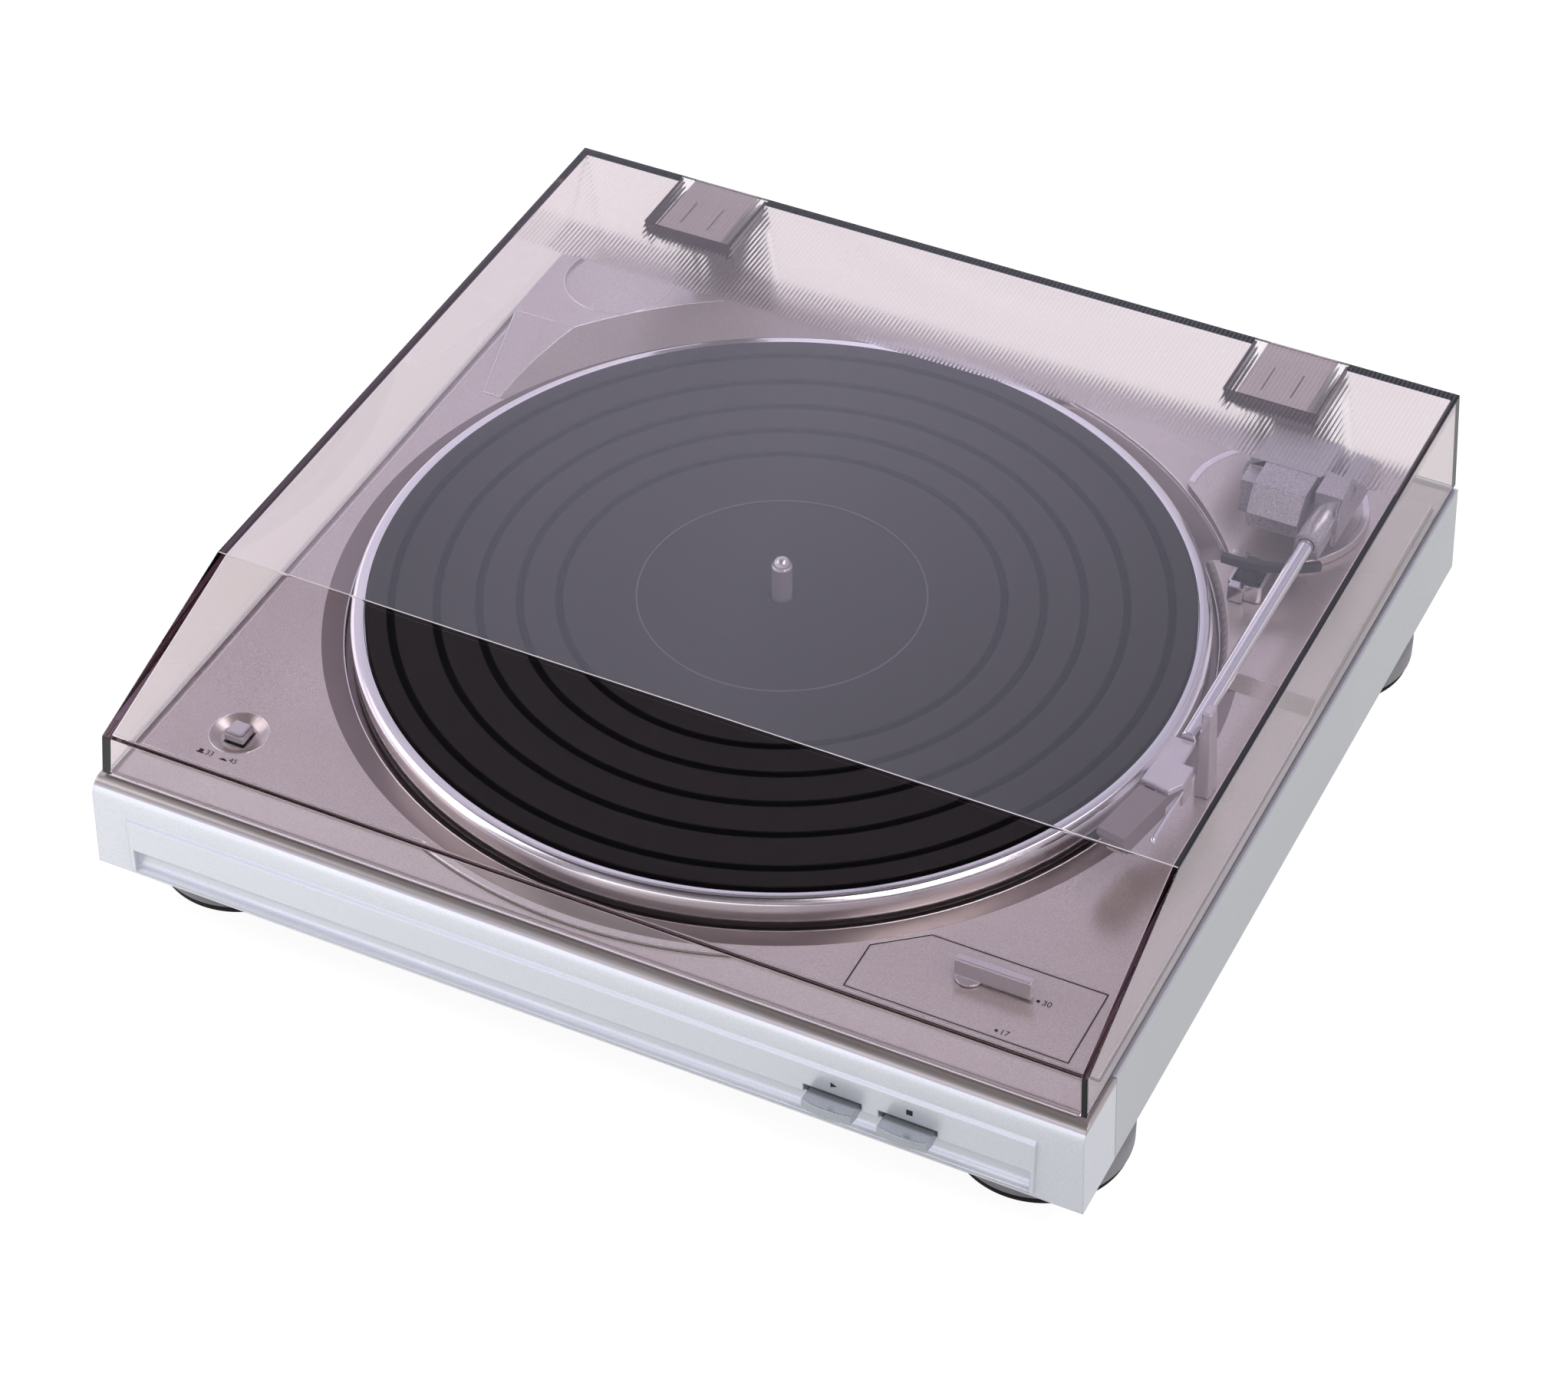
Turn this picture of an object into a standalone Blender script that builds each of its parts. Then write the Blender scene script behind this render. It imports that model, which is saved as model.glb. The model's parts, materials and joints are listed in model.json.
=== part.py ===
"""Automatic belt-drive turntable with a hinged smoked dust cover.

Units are metres, +Z is up and -Y is the front.  The origin is under the middle
of the whole object, on the surface that the feet stand on.
"""
import math

import bmesh
import bpy
from mathutils import Matrix, Vector

MM = 0.001

# Shared clearances and overruns
GAP = 0.3 * MM
OVERRUN = 4 * MM
SINK = 0.5 * MM
FINE = 80
ROUND = 32
SMALL = 16

# Platter, its well and the strips of plinth around the well's ring
PLATTER_RADIUS = 148 * MM
PLATTER_RIM_HEIGHT = 11.5 * MM
PLATTER_RIM_WALL = 4.5 * MM
PLATTER_WEB = 3 * MM
PLATTER_LIP = 2 * MM
PLATTER_CHAMFER = 1.5 * MM
PLATTER_ABOVE_DECK = 9 * MM
WELL_GAP = 2.5 * MM
RING_WIDTH = 7.9 * MM
RING_DROP = 1.2 * MM
LEFT_STRIP = 13.9 * MM
RIGHT_STRIP = 29.3 * MM
FRONT_STRIP = 15.2 * MM
REAR_STRIP = 13.8 * MM
KEY_REACH = 7 * MM
HINGE_REACH = 2.2 * MM

# Plinth shell
PLINTH_HEIGHT = 36.6 * MM
PLINTH_WALL = 2.5 * MM
PLINTH_SKIN = 2.5 * MM
WALL_DRAFT_share = 0.036
DECK_RISE = 1.4 * MM
DECK_SIDE_MARGIN = 7.7 * MM
DECK_FRONT_MARGIN = 23 * MM
DECK_REAR_MARGIN = 15.9 * MM
DECK_BULGE = 2.6 * MM
WELL_FLOOR_UNDER_DECK = 4.5 * MM
WELL_FLOOR_THICK = 2 * MM
WELL_WALL = 2 * MM

# Front panel with its raised band, finger cove and side returns
PANEL_RETURN = 26.4 * MM
PANEL_TOP_STRIP = 9.8 * MM
PANEL_THICK = 6 * MM
PANEL_BEVEL_HEIGHT = 5 * MM
PANEL_BEVEL_DEPTH = 2.4 * MM
BAND_PROUD = 1 * MM
BAND_LEFT_MARGIN = 14 * MM
BAND_RIGHT_MARGIN = 16.5 * MM
BAND_LOW = 2.1 * MM
BAND_HIGH = 25.7 * MM
BAND_FACET = 1.4 * MM
COVE_HIGH = 12 * MM
COVE_DEPTH = 3.2 * MM
COVE_END = 1.5 * MM

# Feet
FOOT_HEIGHT = 19.5 * MM
FOOT_RADIUS = 30.3 * MM
FOOT_NECK_RADIUS = 24 * MM
FOOT_RIM_HEIGHT = 8.5 * MM
FOOT_TAPER = 4 * MM
FOOT_INSET_X = 31 * MM
FOOT_INSET_Y = 41.9 * MM
PAD_HEIGHT = 3.2 * MM
PAD_INSET = 1 * MM

# Bottom cover
BOTTOM_THICK = 2 * MM
BOTTOM_RECESS = 0.8 * MM

# Adapter block behind the platter on the left
BLOCK_RISE = 4 * MM
BLOCK_CONE_WIDTH = 19.2 * MM
BLOCK_RAMP_DEPTH = 44.8 * MM
BLOCK_REAR_LENGTH = 46.7 * MM
RAMP_TOE_LEFT = 10.8 * MM
RAMP_TOE_WIDTH = 10.1 * MM
RAMP_TOE_RISE = 0.4 * MM
ADAPTER_RADIUS = 20.5 * MM
ADAPTER_DEPTH = 1.2 * MM
ADAPTER_SIDE_INSET = 26.4 * MM
ADAPTER_REAR_INSET = 13.3 * MM

# Tonearm platform and base disc
PLATFORM_RISE = 2 * MM
PLATFORM_FRONT = 32 * MM
PLATFORM_SLOPE = 7 * MM
PLATFORM_RING_RADIUS = 153.5 * MM
PLATFORM_REAR_MARGIN = 2 * MM
ARM_DISTANCE_FROM_RING = 25.2 * MM
TUBE_INSIDE_RING = 0.7 * MM
TUBE_OFFSET = 24.1 * MM
ARM_BASE_INSIDE_BAR = 17 * MM
ARM_BASE_THICK = 3 * MM
ARM_SHAFT_RADIUS = 4 * MM
ARM_SLEEVE_RADIUS = 8 * MM

# Mat and spindle
MAT_THICK = 3.2 * MM
MAT_LABEL_RADIUS = 50 * MM
MAT_LABEL_DROP = 0.4 * MM
SPINDLE_RADIUS = 3.6 * MM
SPINDLE_ABOVE_MAT = 15.9 * MM
SPINDLE_FLANGE_RADIUS = 8 * MM
SPINDLE_FLANGE_THICK = 2 * MM
HUB_RADIUS = 10 * MM
HUB_STEM_RADIUS = 6 * MM
DRUM_RADIUS = 95 * MM
DRUM_WALL = 3 * MM
DRUM_DEPTH = 6.9 * MM
WASHER_THICK = 0.4 * MM
WASHER_RADIUS = 7.5 * MM

# Steel mechanism plate hung under the well
PLATE_THICK = 1.5 * MM
PLATE_UNDER_WELL = 7.5 * MM
PLATE_POST_RADIUS = 4 * MM
PLATE_LEFT = 112 * MM
PLATE_FRONT = 74 * MM
PLATE_RIGHT = 113 * MM
PLATE_REAR = 108 * MM
PLATE_ARM_MARGIN = 25 * MM

# Automatic mechanism: hub pinion and cam gear
GEAR_MODULE = 1.5 * MM
PINION_TEETH = 12
CAM_TEETH = 60
CAM_MISSING_TEETH = 7
CAM_ANGLE = 35
GEAR_THICK = 4.3 * MM
GEAR_BACKLASH = 0.25 * MM
CAM_AXLE_RADIUS = 3 * MM
CAM_BOSS_RADIUS = 8 * MM
CAM_WEB = 2 * MM
CAM_RIM = 5 * MM
SWITCH_LENGTH = 20 * MM
SWITCH_WIDTH = 6.5 * MM
SWITCH_HEIGHT = 5.5 * MM

# Motor, pulley and belt
MOTOR_FROM_DRUM = 23 * MM
MOTOR_ANGLE = 135
MOTOR_RADIUS = 17.5 * MM
MOTOR_HEIGHT = 17 * MM
MOTOR_SHAFT_RADIUS = 1 * MM
MOTOR_SHAFT_DEPTH = 6 * MM
PULLEY_RADIUS = 6 * MM
PULLEY_FLANGE = 1 * MM
PULLEY_HEIGHT = 6 * MM
BELT_THICK = 0.7 * MM
BELT_WIDTH = 4 * MM

# Transformer and circuit board
TRANSFORMER_WIDTH = 38 * MM
TRANSFORMER_DEPTH = 32 * MM
TRANSFORMER_HEIGHT = 26 * MM
TRANSFORMER_COIL_OVERHANG = 5 * MM
TRANSFORMER_INSET_X = 18 * MM
TRANSFORMER_INSET_Y = 22 * MM
BOARD_WIDTH = 84 * MM
BOARD_DEPTH = 52 * MM
BOARD_THICK = 1.6 * MM
BOARD_LIFT = 7.5 * MM
BOARD_INSET_X = 44 * MM
BOARD_INSET_Y = 48 * MM
STANDOFF_RADIUS = 3 * MM
STANDOFF_INSET = 5 * MM
CAPACITOR_RADIUS = 4 * MM
CAPACITOR_HEIGHT = 11 * MM
CHIP_WIDTH = 8 * MM
CHIP_LENGTH = 20 * MM
CHIP_HEIGHT = 4 * MM

# Speed button in its dished recess
DISH_RADIUS = 10 * MM
DISH_DEPTH = 2 * MM
DISH_FLOOR_RADIUS = 6.4 * MM
DISH_SIDE_INSET = 34.4 * MM
DISH_FRONT_INSET = 41.7 * MM
BUTTON_WIDTH = 7.3 * MM
BUTTON_DEPTH = 7.7 * MM
BUTTON_PROUD = 2.3 * MM
BUTTON_HEIGHT = 3.6 * MM
BUTTON_CHAMFER = 0.8 * MM
BUTTON_STEM_RADIUS = 1.2 * MM
BUTTON_STEM_LENGTH = 6 * MM
SPEED_SWITCH_SIDE = 13 * MM
SPEED_SWITCH_HEIGHT = 10 * MM

# Size selector panel and lever
SELECTOR_PANEL_THICK = 1.1 * MM
SELECTOR_PANEL_RIGHT_INSET = 16.8 * MM
SELECTOR_PANEL_FRONT_INSET = 24.5 * MM
SELECTOR_PANEL_LENGTH = 76.4 * MM
SELECTOR_PANEL_DEPTH = 32 * MM
SELECTOR_PANEL_CORNER_X = 15.9 * MM
SELECTOR_PANEL_CORNER_Y = 12.6 * MM
LEVER_PIVOT_X = 42.2 * MM
LEVER_PIVOT_Y = 20 * MM
LEVER_DISC_RADIUS = 4.7 * MM
LEVER_DISC_THICK = 0.8 * MM
LEVER_REACH = 21.8 * MM
LEVER_TAIL = 4.9 * MM
LEVER_WIDTH = 3.5 * MM
LEVER_HEIGHT = 7 * MM
LEVER_SHAFT_RADIUS = 2 * MM
LEVER_SHAFT_DEPTH = 11 * MM
CRANK_LENGTH = 18 * MM
CRANK_WIDTH = 6 * MM
CRANK_THICK = 1.5 * MM

# Start and stop keys, their springs, bracket and links
KEY_WIDTH = 17.5 * MM
KEY_HOLE_LEFT = 1.9 * MM
KEY_HOLE_RIGHT = 0.9 * MM
KEY_PITCH = 26.1 * MM
KEY_RIGHT_INSET = 59.1 * MM
KEY_TOP_ABOVE_BASE = 14 * MM
KEY_RISE = 1 * MM
KEY_THICK = 4 * MM
KEY_BULGE = 1.2 * MM
KEY_SHANK = 19 * MM
KEY_ROD_RADIUS = 1.5 * MM
KEY_ROD_LENGTH = 17 * MM
SPRING_RADIUS = 2.7 * MM
SPRING_WIRE = 0.35 * MM
SPRING_TURNS = 5
SPRING_LENGTH = 10 * MM
BRACKET_THICK = 1.5 * MM
LINK_WIDTH = 8 * MM
LINK_LENGTH = 92 * MM
LINK_THICK = 1.2 * MM

# Tonearm: yaw part
YOKE_BASE_RADIUS = 13 * MM
YOKE_TOP_BELOW_COVER = 3.4 * MM
YOKE_BODY_LEFT = 7 * MM
YOKE_BODY_REAR = 12 * MM
YOKE_BODY_FRONT = 13.1 * MM
YOKE_BODY_HEIGHT = 16 * MM
YOKE_RAIL_DEPTH = 4 * MM
YOKE_RAIL_HEIGHT = 4 * MM
YOKE_RIGHT_GAP = 5 * MM
YOKE_BLOCK_LEFT = 1.2 * MM
YOKE_BLOCK_FRONT = 12.5 * MM
YOKE_BLOCK_LEAN = 5.7 * MM
YOKE_BLOCK_LEAN_HEIGHT = 9.7 * MM
YOKE_BLOCK_STEP = 1.2 * MM
YOKE_EAR_FRONT = 9 * MM
YOKE_EAR_DROP = 3.5 * MM
YOKE_EAR_HEIGHT = 14 * MM
ARM_SHAFT_LENGTH = 25 * MM
SECTOR_REACH = 58 * MM
SECTOR_HALF_ANGLE = 14
SECTOR_THICK = 1.5 * MM
SECTOR_HUB_RADIUS = 9 * MM

# Tonearm: pitch part
TUBE_RADIUS = 2.75 * MM
TUBE_ABOVE_MAT = 13.5 * MM
PIVOT_ABOVE_TUBE = 3.1 * MM
PIVOT_BEHIND_YAW = -8.8 * MM
PIVOT_PIN_RADIUS = 1.5 * MM
PIVOT_BLOCK_LEFT = 4.1 * MM
PIVOT_BLOCK_RIGHT = 5.5 * MM
PIVOT_BLOCK_FRONT = 12.5 * MM
PIVOT_BLOCK_TOP_REAR = 0.2 * MM
PIVOT_BLOCK_SLOPE = 3.4 * MM
PIVOT_BLOCK_REAR = 8.2 * MM
PIVOT_BLOCK_UNDER = 7.6 * MM
PIVOT_CHEEK_THICK = 1.3 * MM
PIVOT_CHEEK_LEAN = 3.5 * MM
PIVOT_CHEEK_UNDER = 12.3 * MM
PIVOT_SCREW_RADIUS = 2.6 * MM
PIVOT_SCREW_THICK = 0.9 * MM
SLEEVE_RADIUS = 4.4 * MM
SLEEVE_SKIRT = 5.5 * MM
SLEEVE_LENGTH = 17.5 * MM
TUBE_FROM_SLEEVE = 109 * MM
TUBE_INSIDE_SLEEVE = 12 * MM
WEIGHT_LENGTH = 16 * MM
WEIGHT_HEIGHT = 12 * MM
WEIGHT_UNDER = 14 * MM
SHELL_THICK = 2.2 * MM
SHELL_REAR_LEFT = 5.4 * MM
SHELL_REAR_RIGHT = 3 * MM
SHELL_FRONT_LEFT = 6.5 * MM
SHELL_FRONT_RIGHT = 3.7 * MM
SHELL_LEFT_LENGTH = 23.4 * MM
SHELL_RIGHT_LENGTH = 25.4 * MM
SHELL_SHOULDER_BACK = 11.2 * MM
SHELL_SHOULDER_WIDTH = 6.9 * MM
SHELL_SKIRT_END = 20 * MM
SHELL_SKIRT_THICK = 1 * MM
SHELL_SKIRT_HEIGHT = 10.5 * MM
CARTRIDGE_WIDTH = 10.4 * MM
CARTRIDGE_LENGTH = 25.6 * MM
CARTRIDGE_HEIGHT = 8.4 * MM
CARTRIDGE_DROP = 2 * MM
CARTRIDGE_NOSE = 4 * MM
CARTRIDGE_ANGLE = 11
STYLUS_GUARD_WIDTH = 6 * MM
STYLUS_GUARD_LENGTH = 12 * MM
STYLUS_GUARD_HEIGHT = 1.4 * MM
STYLUS_RADIUS = 0.5 * MM
RECORD_THICK = 1.3 * MM
FINGER_LENGTH = 24.6 * MM
FINGER_DROP = 4 * MM
FINGER_RADIUS = 0.7 * MM
FINGER_TIP_RADIUS = 1.1 * MM
ARM_LIFT_DEGREES = 2.5

# Arm lifter and its guide
BAR_RADIUS = 50 * MM
BAR_WIDTH = 2.5 * MM
BAR_HEIGHT = 3.4 * MM
BAR_FROM_ANGLE = -93
BAR_TO_ANGLE = -52
LIFTER_SHIFT_X = 7.1 * MM
LIFTER_WIDTH = 8.8 * MM
LIFTER_DEPTH = 14 * MM
LIFTER_ROD_RADIUS = 2 * MM
LIFTER_FLOAT = 0.6 * MM
LIFTER_SHELF = 6 * MM
GUIDE_WALL = 1.2 * MM
GUIDE_HEIGHT = 6.7 * MM
GUIDE_CLEAR = 0.6 * MM
GUIDE_LENGTH = 16.5 * MM
GUIDE_BLOCK_WIDTH = 5.4 * MM
GUIDE_BLOCK_DEPTH = 2.4 * MM

# Arm rest
REST_DEPTH = 7.8 * MM
REST_WIDTH = 5.4 * MM
REST_TOP_DEPTH = 5.4 * MM
REST_TOP_WIDTH = 3.2 * MM
REST_BEHIND_SHELL = 3 * MM
REST_SIDE_CLEAR = 0.75 * MM
REST_UNDER_COVER = 2 * MM
CRADLE_THICK = 2 * MM
CRADLE_DEPTH = 3 * MM

# Dust cover
COVER_WALL = 2.6 * MM
COVER_INSET = 1.3 * MM
COVER_LIFT = 1.05 * MM
COVER_HEIGHT = 39.85 * MM
COVER_LIP_HEIGHT = 15.8 * MM
COVER_LIP_BACK = 5.9 * MM
COVER_LIP_LEAN = 1.1 * MM
COVER_SLOPE_DEPTH = 74.1 * MM
COVER_DRAFT_share = 0.07
COVER_REAR_GAP = 0.4 * MM
COVER_NUB_RADIUS = 0.9 * MM

# Hinges
HINGE_WIDTH = 35.8 * MM
HINGE_FROM_CENTRE = 115.2 * MM
HINGE_POCKET_DEPTH = 31 * MM
HINGE_RIB_THICK = 1.6 * MM
HINGE_RIB_HEIGHT = 9 * MM
HINGE_AXIS_DROP = 6 * MM
HINGE_BARREL_RADIUS = 3.5 * MM
HINGE_PIN_RADIUS = 1.5 * MM
HINGE_ARM_WIDTH = 26 * MM
HINGE_ARM_PLATE = 5 * MM
HINGE_ARM_TOP = 7 * MM
HINGE_BASE_CHEEK = 3 * MM
HINGE_BASE_FLOOR = 2.5 * MM
COVER_OPEN_DEGREES = 60

# Rear glands and screws
GLAND_RADIUS = 4.5 * MM
GLAND_FLANGE_RADIUS = 6.5 * MM
GLAND_FLANGE = 1.6 * MM
GLAND_BORE_RADIUS = 2.6 * MM
GLAND_FROM_CENTRE = 66 * MM
SCREW_HEAD_RADIUS = 3 * MM
SCREW_SHANK_RADIUS = 1.2 * MM
SCREW_SHANK_LENGTH = 6 * MM
SCREW_SIDE_INSET = 12 * MM

# Heights and places worked out from the sizes above
WELL_RADIUS = PLATTER_RADIUS + WELL_GAP
RING_RADIUS = WELL_RADIUS + RING_WIDTH
PLINTH_WIDTH = 2 * RING_RADIUS + LEFT_STRIP + RIGHT_STRIP
PLINTH_DEPTH = 2 * RING_RADIUS + FRONT_STRIP + REAR_STRIP
HALF_WIDTH = PLINTH_WIDTH / 2
FRONT_Y = -(KEY_REACH + PLINTH_DEPTH + HINGE_REACH) / 2 + KEY_REACH
REAR_Y = FRONT_Y + PLINTH_DEPTH
BASE_Z = FOOT_HEIGHT
LEDGE_Z = BASE_Z + PLINTH_HEIGHT
DECK_Z = LEDGE_Z + DECK_RISE
DRAFT_IN = PLINTH_HEIGHT * WALL_DRAFT_share
INNER_HALF_WIDTH = HALF_WIDTH - DRAFT_IN - PLINTH_WALL
INNER_REAR_Y = REAR_Y - DRAFT_IN - PLINTH_WALL
PLATTER_X = -HALF_WIDTH + LEFT_STRIP + RING_RADIUS
PLATTER_Y = FRONT_Y + FRONT_STRIP + RING_RADIUS
DECK_HALF_WIDTH = HALF_WIDTH - DECK_SIDE_MARGIN
DECK_FRONT_Y = FRONT_Y + DECK_FRONT_MARGIN
DECK_REAR_Y = REAR_Y - DECK_REAR_MARGIN
UNDER_LEDGE_Z = LEDGE_Z - PLINTH_SKIN
WELL_FLOOR_Z = DECK_Z - WELL_FLOOR_UNDER_DECK
WELL_UNDER_Z = WELL_FLOOR_Z - WELL_FLOOR_THICK
PLATE_Z = WELL_UNDER_Z - PLATE_UNDER_WELL
PLATE_LOW_Z = PLATE_Z - PLATE_THICK
BOTTOM_LOW_Z = BASE_Z + BOTTOM_RECESS
BOTTOM_Z = BOTTOM_LOW_Z + BOTTOM_THICK
RIM_Z = DECK_Z + PLATTER_ABOVE_DECK
WEB_Z = RIM_Z - PLATTER_LIP
WEB_LOW_Z = WEB_Z - PLATTER_WEB
MAT_LOW_Z = WEB_Z + GAP
MAT_Z = MAT_LOW_Z + MAT_THICK
GEAR_LOW_Z = PLATE_Z + GAP + WASHER_THICK + 2 * GAP
TUBE_X = PLATTER_X + RING_RADIUS - TUBE_INSIDE_RING
ARM_X = TUBE_X - TUBE_OFFSET
ARM_REACH = RING_RADIUS + ARM_DISTANCE_FROM_RING
ARM_Y = PLATTER_Y + math.sqrt(ARM_REACH ** 2 - (ARM_X - PLATTER_X) ** 2)
PLATFORM_Z = DECK_Z + PLATFORM_RISE
ARM_BASE_RADIUS = BAR_RADIUS - ARM_BASE_INSIDE_BAR
ARM_BASE_Z = PLATFORM_Z + GAP + ARM_BASE_THICK
COVER_LOW_Z = LEDGE_Z + COVER_LIFT
COVER_TOP_Z = COVER_LOW_Z + COVER_HEIGHT
COVER_HALF_WIDTH = HALF_WIDTH - DRAFT_IN - COVER_INSET
COVER_FRONT_Y = FRONT_Y + COVER_LIP_BACK
COVER_REAR_Y = REAR_Y - COVER_REAR_GAP
YOKE_TOP_Z = COVER_TOP_Z - COVER_WALL - YOKE_TOP_BELOW_COVER
TUBE_Z = MAT_Z + TUBE_ABOVE_MAT
PITCH_Y = ARM_Y + PIVOT_BEHIND_YAW
PITCH_Z = TUBE_Z + PIVOT_ABOVE_TUBE
SLEEVE_REAR_Y = PITCH_Y - PIVOT_BLOCK_FRONT
SLEEVE_FRONT_Y = SLEEVE_REAR_Y - SLEEVE_LENGTH
TUBE_FRONT_Y = SLEEVE_FRONT_Y - TUBE_FROM_SLEEVE
HINGE_AXIS_Z = LEDGE_Z - HINGE_AXIS_DROP
HINGE_AXIS_Y = REAR_Y + HINGE_REACH - HINGE_BARREL_RADIUS
PINION_RADIUS = GEAR_MODULE * PINION_TEETH / 2
CAM_RADIUS = GEAR_MODULE * CAM_TEETH / 2
CAM_DISTANCE = PINION_RADIUS + CAM_RADIUS
CAM_X = PLATTER_X + CAM_DISTANCE * math.cos(math.radians(CAM_ANGLE))
CAM_Y = PLATTER_Y + CAM_DISTANCE * math.sin(math.radians(CAM_ANGLE))
MOTOR_DISTANCE = DRUM_RADIUS + MOTOR_FROM_DRUM
MOTOR_X = PLATTER_X + MOTOR_DISTANCE * math.cos(math.radians(MOTOR_ANGLE))
MOTOR_Y = PLATTER_Y + MOTOR_DISTANCE * math.sin(math.radians(MOTOR_ANGLE))
SELECTOR_RIGHT_X = HALF_WIDTH - SELECTOR_PANEL_RIGHT_INSET
SELECTOR_FRONT_Y = FRONT_Y + SELECTOR_PANEL_FRONT_INSET
LEVER_X = SELECTOR_RIGHT_X - LEVER_PIVOT_X
LEVER_Y = SELECTOR_FRONT_Y + LEVER_PIVOT_Y
BUTTON_X = -HALF_WIDTH + DISH_SIDE_INSET
BUTTON_Y = FRONT_Y + DISH_FRONT_INSET
KEY_CENTRES = [HALF_WIDTH - KEY_RIGHT_INSET - KEY_PITCH, HALF_WIDTH - KEY_RIGHT_INSET]
KEY_NAMES = ["start", "stop"]
KEY_TOP_Z = BASE_Z + KEY_TOP_ABOVE_BASE
KEY_FRONT_Y = FRONT_Y - KEY_REACH
KEY_REAR_Y = FRONT_Y + KEY_SHANK
KEY_ROD_Z = KEY_TOP_Z - KEY_THICK / 2
FOOT_X = HALF_WIDTH - FOOT_INSET_X
FOOT_FRONT_Y = FRONT_Y + FOOT_INSET_Y
FOOT_REAR_Y = REAR_Y - FOOT_INSET_Y
LIFTER_X = ARM_X + LIFTER_SHIFT_X
BAR_TOP_Z = TUBE_Z - SLEEVE_SKIRT - GAP
LIFTER_Y = ARM_Y - math.sqrt(BAR_RADIUS ** 2 - LIFTER_SHIFT_X ** 2)

FINISHES = {
    "silver_paint": ((0.72, 0.74, 0.78), 0.38, 0.35),
    "mauve_metallic": ((0.42, 0.38, 0.40), 0.42, 0.55),
    "bare_aluminium": ((0.80, 0.79, 0.80), 0.25, 1.0),
    "chrome": ((0.85, 0.85, 0.86), 0.08, 1.0),
    "black_rubber": ((0.03, 0.03, 0.035), 0.85, 0.0),
    "black_plastic": ((0.05, 0.05, 0.055), 0.45, 0.0),
    "grey_plastic": ((0.30, 0.30, 0.31), 0.5, 0.0),
    "zinc_steel": ((0.62, 0.63, 0.62), 0.35, 1.0),
    "cast_zinc": ((0.55, 0.54, 0.57), 0.5, 0.6),
    "white_acetal": ((0.85, 0.84, 0.80), 0.4, 0.0),
    "brass": ((0.75, 0.60, 0.30), 0.3, 1.0),
    "green_board": ((0.05, 0.22, 0.12), 0.5, 0.0),
    "smoked_acrylic": ((0.55, 0.47, 0.47), 0.05, 0.0),
}


# Forms: a form is a pair of a vertex list and a face list

def oriented(points, faces):
    """Return the form with every face pointing outwards."""
    volume = 0
    for face in faces:
        a = points[face[0]]
        for j in range(1, len(face) - 1):
            volume += a.dot(points[face[j]].cross(points[face[j + 1]]))
    if volume < 0:
        faces = [tuple(reversed(face)) for face in faces]
    return points, faces


def loft(loops):
    """Join equal loops of points in order and close both ends with flat caps."""
    count = len(loops[0])
    points = [Vector(p) for loop in loops for p in loop]
    faces = []
    for k in range(len(loops) - 1):
        for j in range(count):
            n = (j + 1) % count
            faces.append((k * count + j, k * count + n, (k + 1) * count + n, (k + 1) * count + j))
    faces.append(tuple(reversed(range(count))))
    last = (len(loops) - 1) * count
    faces.append(tuple(range(last, last + count)))
    return oriented(points, faces)


def prism(outline, axis, low, high):
    """Extrude a flat outline between two places along the named axis."""
    loops = []
    for place in (low, high):
        if axis == "x":
            loops.append([(place, a, b) for a, b in outline])
        elif axis == "y":
            loops.append([(a, place, b) for a, b in outline])
        else:
            loops.append([(a, b, place) for a, b in outline])
    return loft(loops)


def box(x0, x1, y0, y1, z0, z1):
    """Make a box from its six limits."""
    return prism([(x0, y0), (x1, y0), (x1, y1), (x0, y1)], "z", z0, z1)


def circle(radius, count, centre=(0, 0), start=0, stop=360):
    """Return points on a circle, or on an arc of it with both ends."""
    whole = stop - start == 360
    steps = count if whole else count - 1
    points = []
    for j in range(count):
        angle = math.radians(start + (stop - start) * j / steps)
        points.append((centre[0] + radius * math.cos(angle), centre[1] + radius * math.sin(angle)))
    return points


def rod(radius, axis, low, high, centre, count=SMALL):
    """Make a cylinder along an axis; centre gives its two other coordinates."""
    return prism(circle(radius, count, centre), axis, low, high)


def turned(profile, centre, count=ROUND):
    """Turn a closed profile of (radius, height) points about a vertical axis."""
    points = []
    rows = []
    for radius, height in profile:
        if radius == 0:
            rows.append([len(points)] * count)
            points.append(Vector((centre[0], centre[1], height)))
            continue
        rows.append(list(range(len(points), len(points) + count)))
        points.extend(Vector((x, y, height)) for x, y in circle(radius, count, centre))
    faces = []
    for k, row in enumerate(rows):
        following = rows[(k + 1) % len(rows)]
        if row[0] == row[1] and following[0] == following[1]:
            continue
        for j in range(count):
            n = (j + 1) % count
            face = []
            for corner in (row[j], row[n], following[n], following[j]):
                if corner not in face:
                    face.append(corner)
            faces.append(tuple(face))
    return oriented(points, faces)


def merged(forms):
    """Put several forms that don't touch into one form."""
    points = []
    faces = []
    for form_points, form_faces in forms:
        base = len(points)
        points.extend(form_points)
        faces.extend(tuple(base + j for j in face) for face in form_faces)
    return points, faces


def spun(form, degrees, centre, axis="Z"):
    """Turn a form about an axis through a point."""
    turn = Matrix.Rotation(math.radians(degrees), 3, axis)
    middle = Vector(centre)
    return [turn @ (p - middle) + middle for p in form[0]], form[1]


# Objects and materials

def material(finish):
    """Return the shared Principled material of a finish."""
    found = bpy.data.materials.get(finish)
    if found:
        return found
    colour, roughness, metallic = FINISHES[finish]
    made = bpy.data.materials.new(finish)
    made.use_nodes = True
    shader = made.node_tree.nodes["Principled BSDF"]
    shader.inputs["Base Color"].default_value = (*colour, 1)
    shader.inputs["Roughness"].default_value = roughness
    shader.inputs["Metallic"].default_value = metallic
    if finish == "smoked_acrylic":
        shader.inputs["Alpha"].default_value = 0.4
    return made


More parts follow.
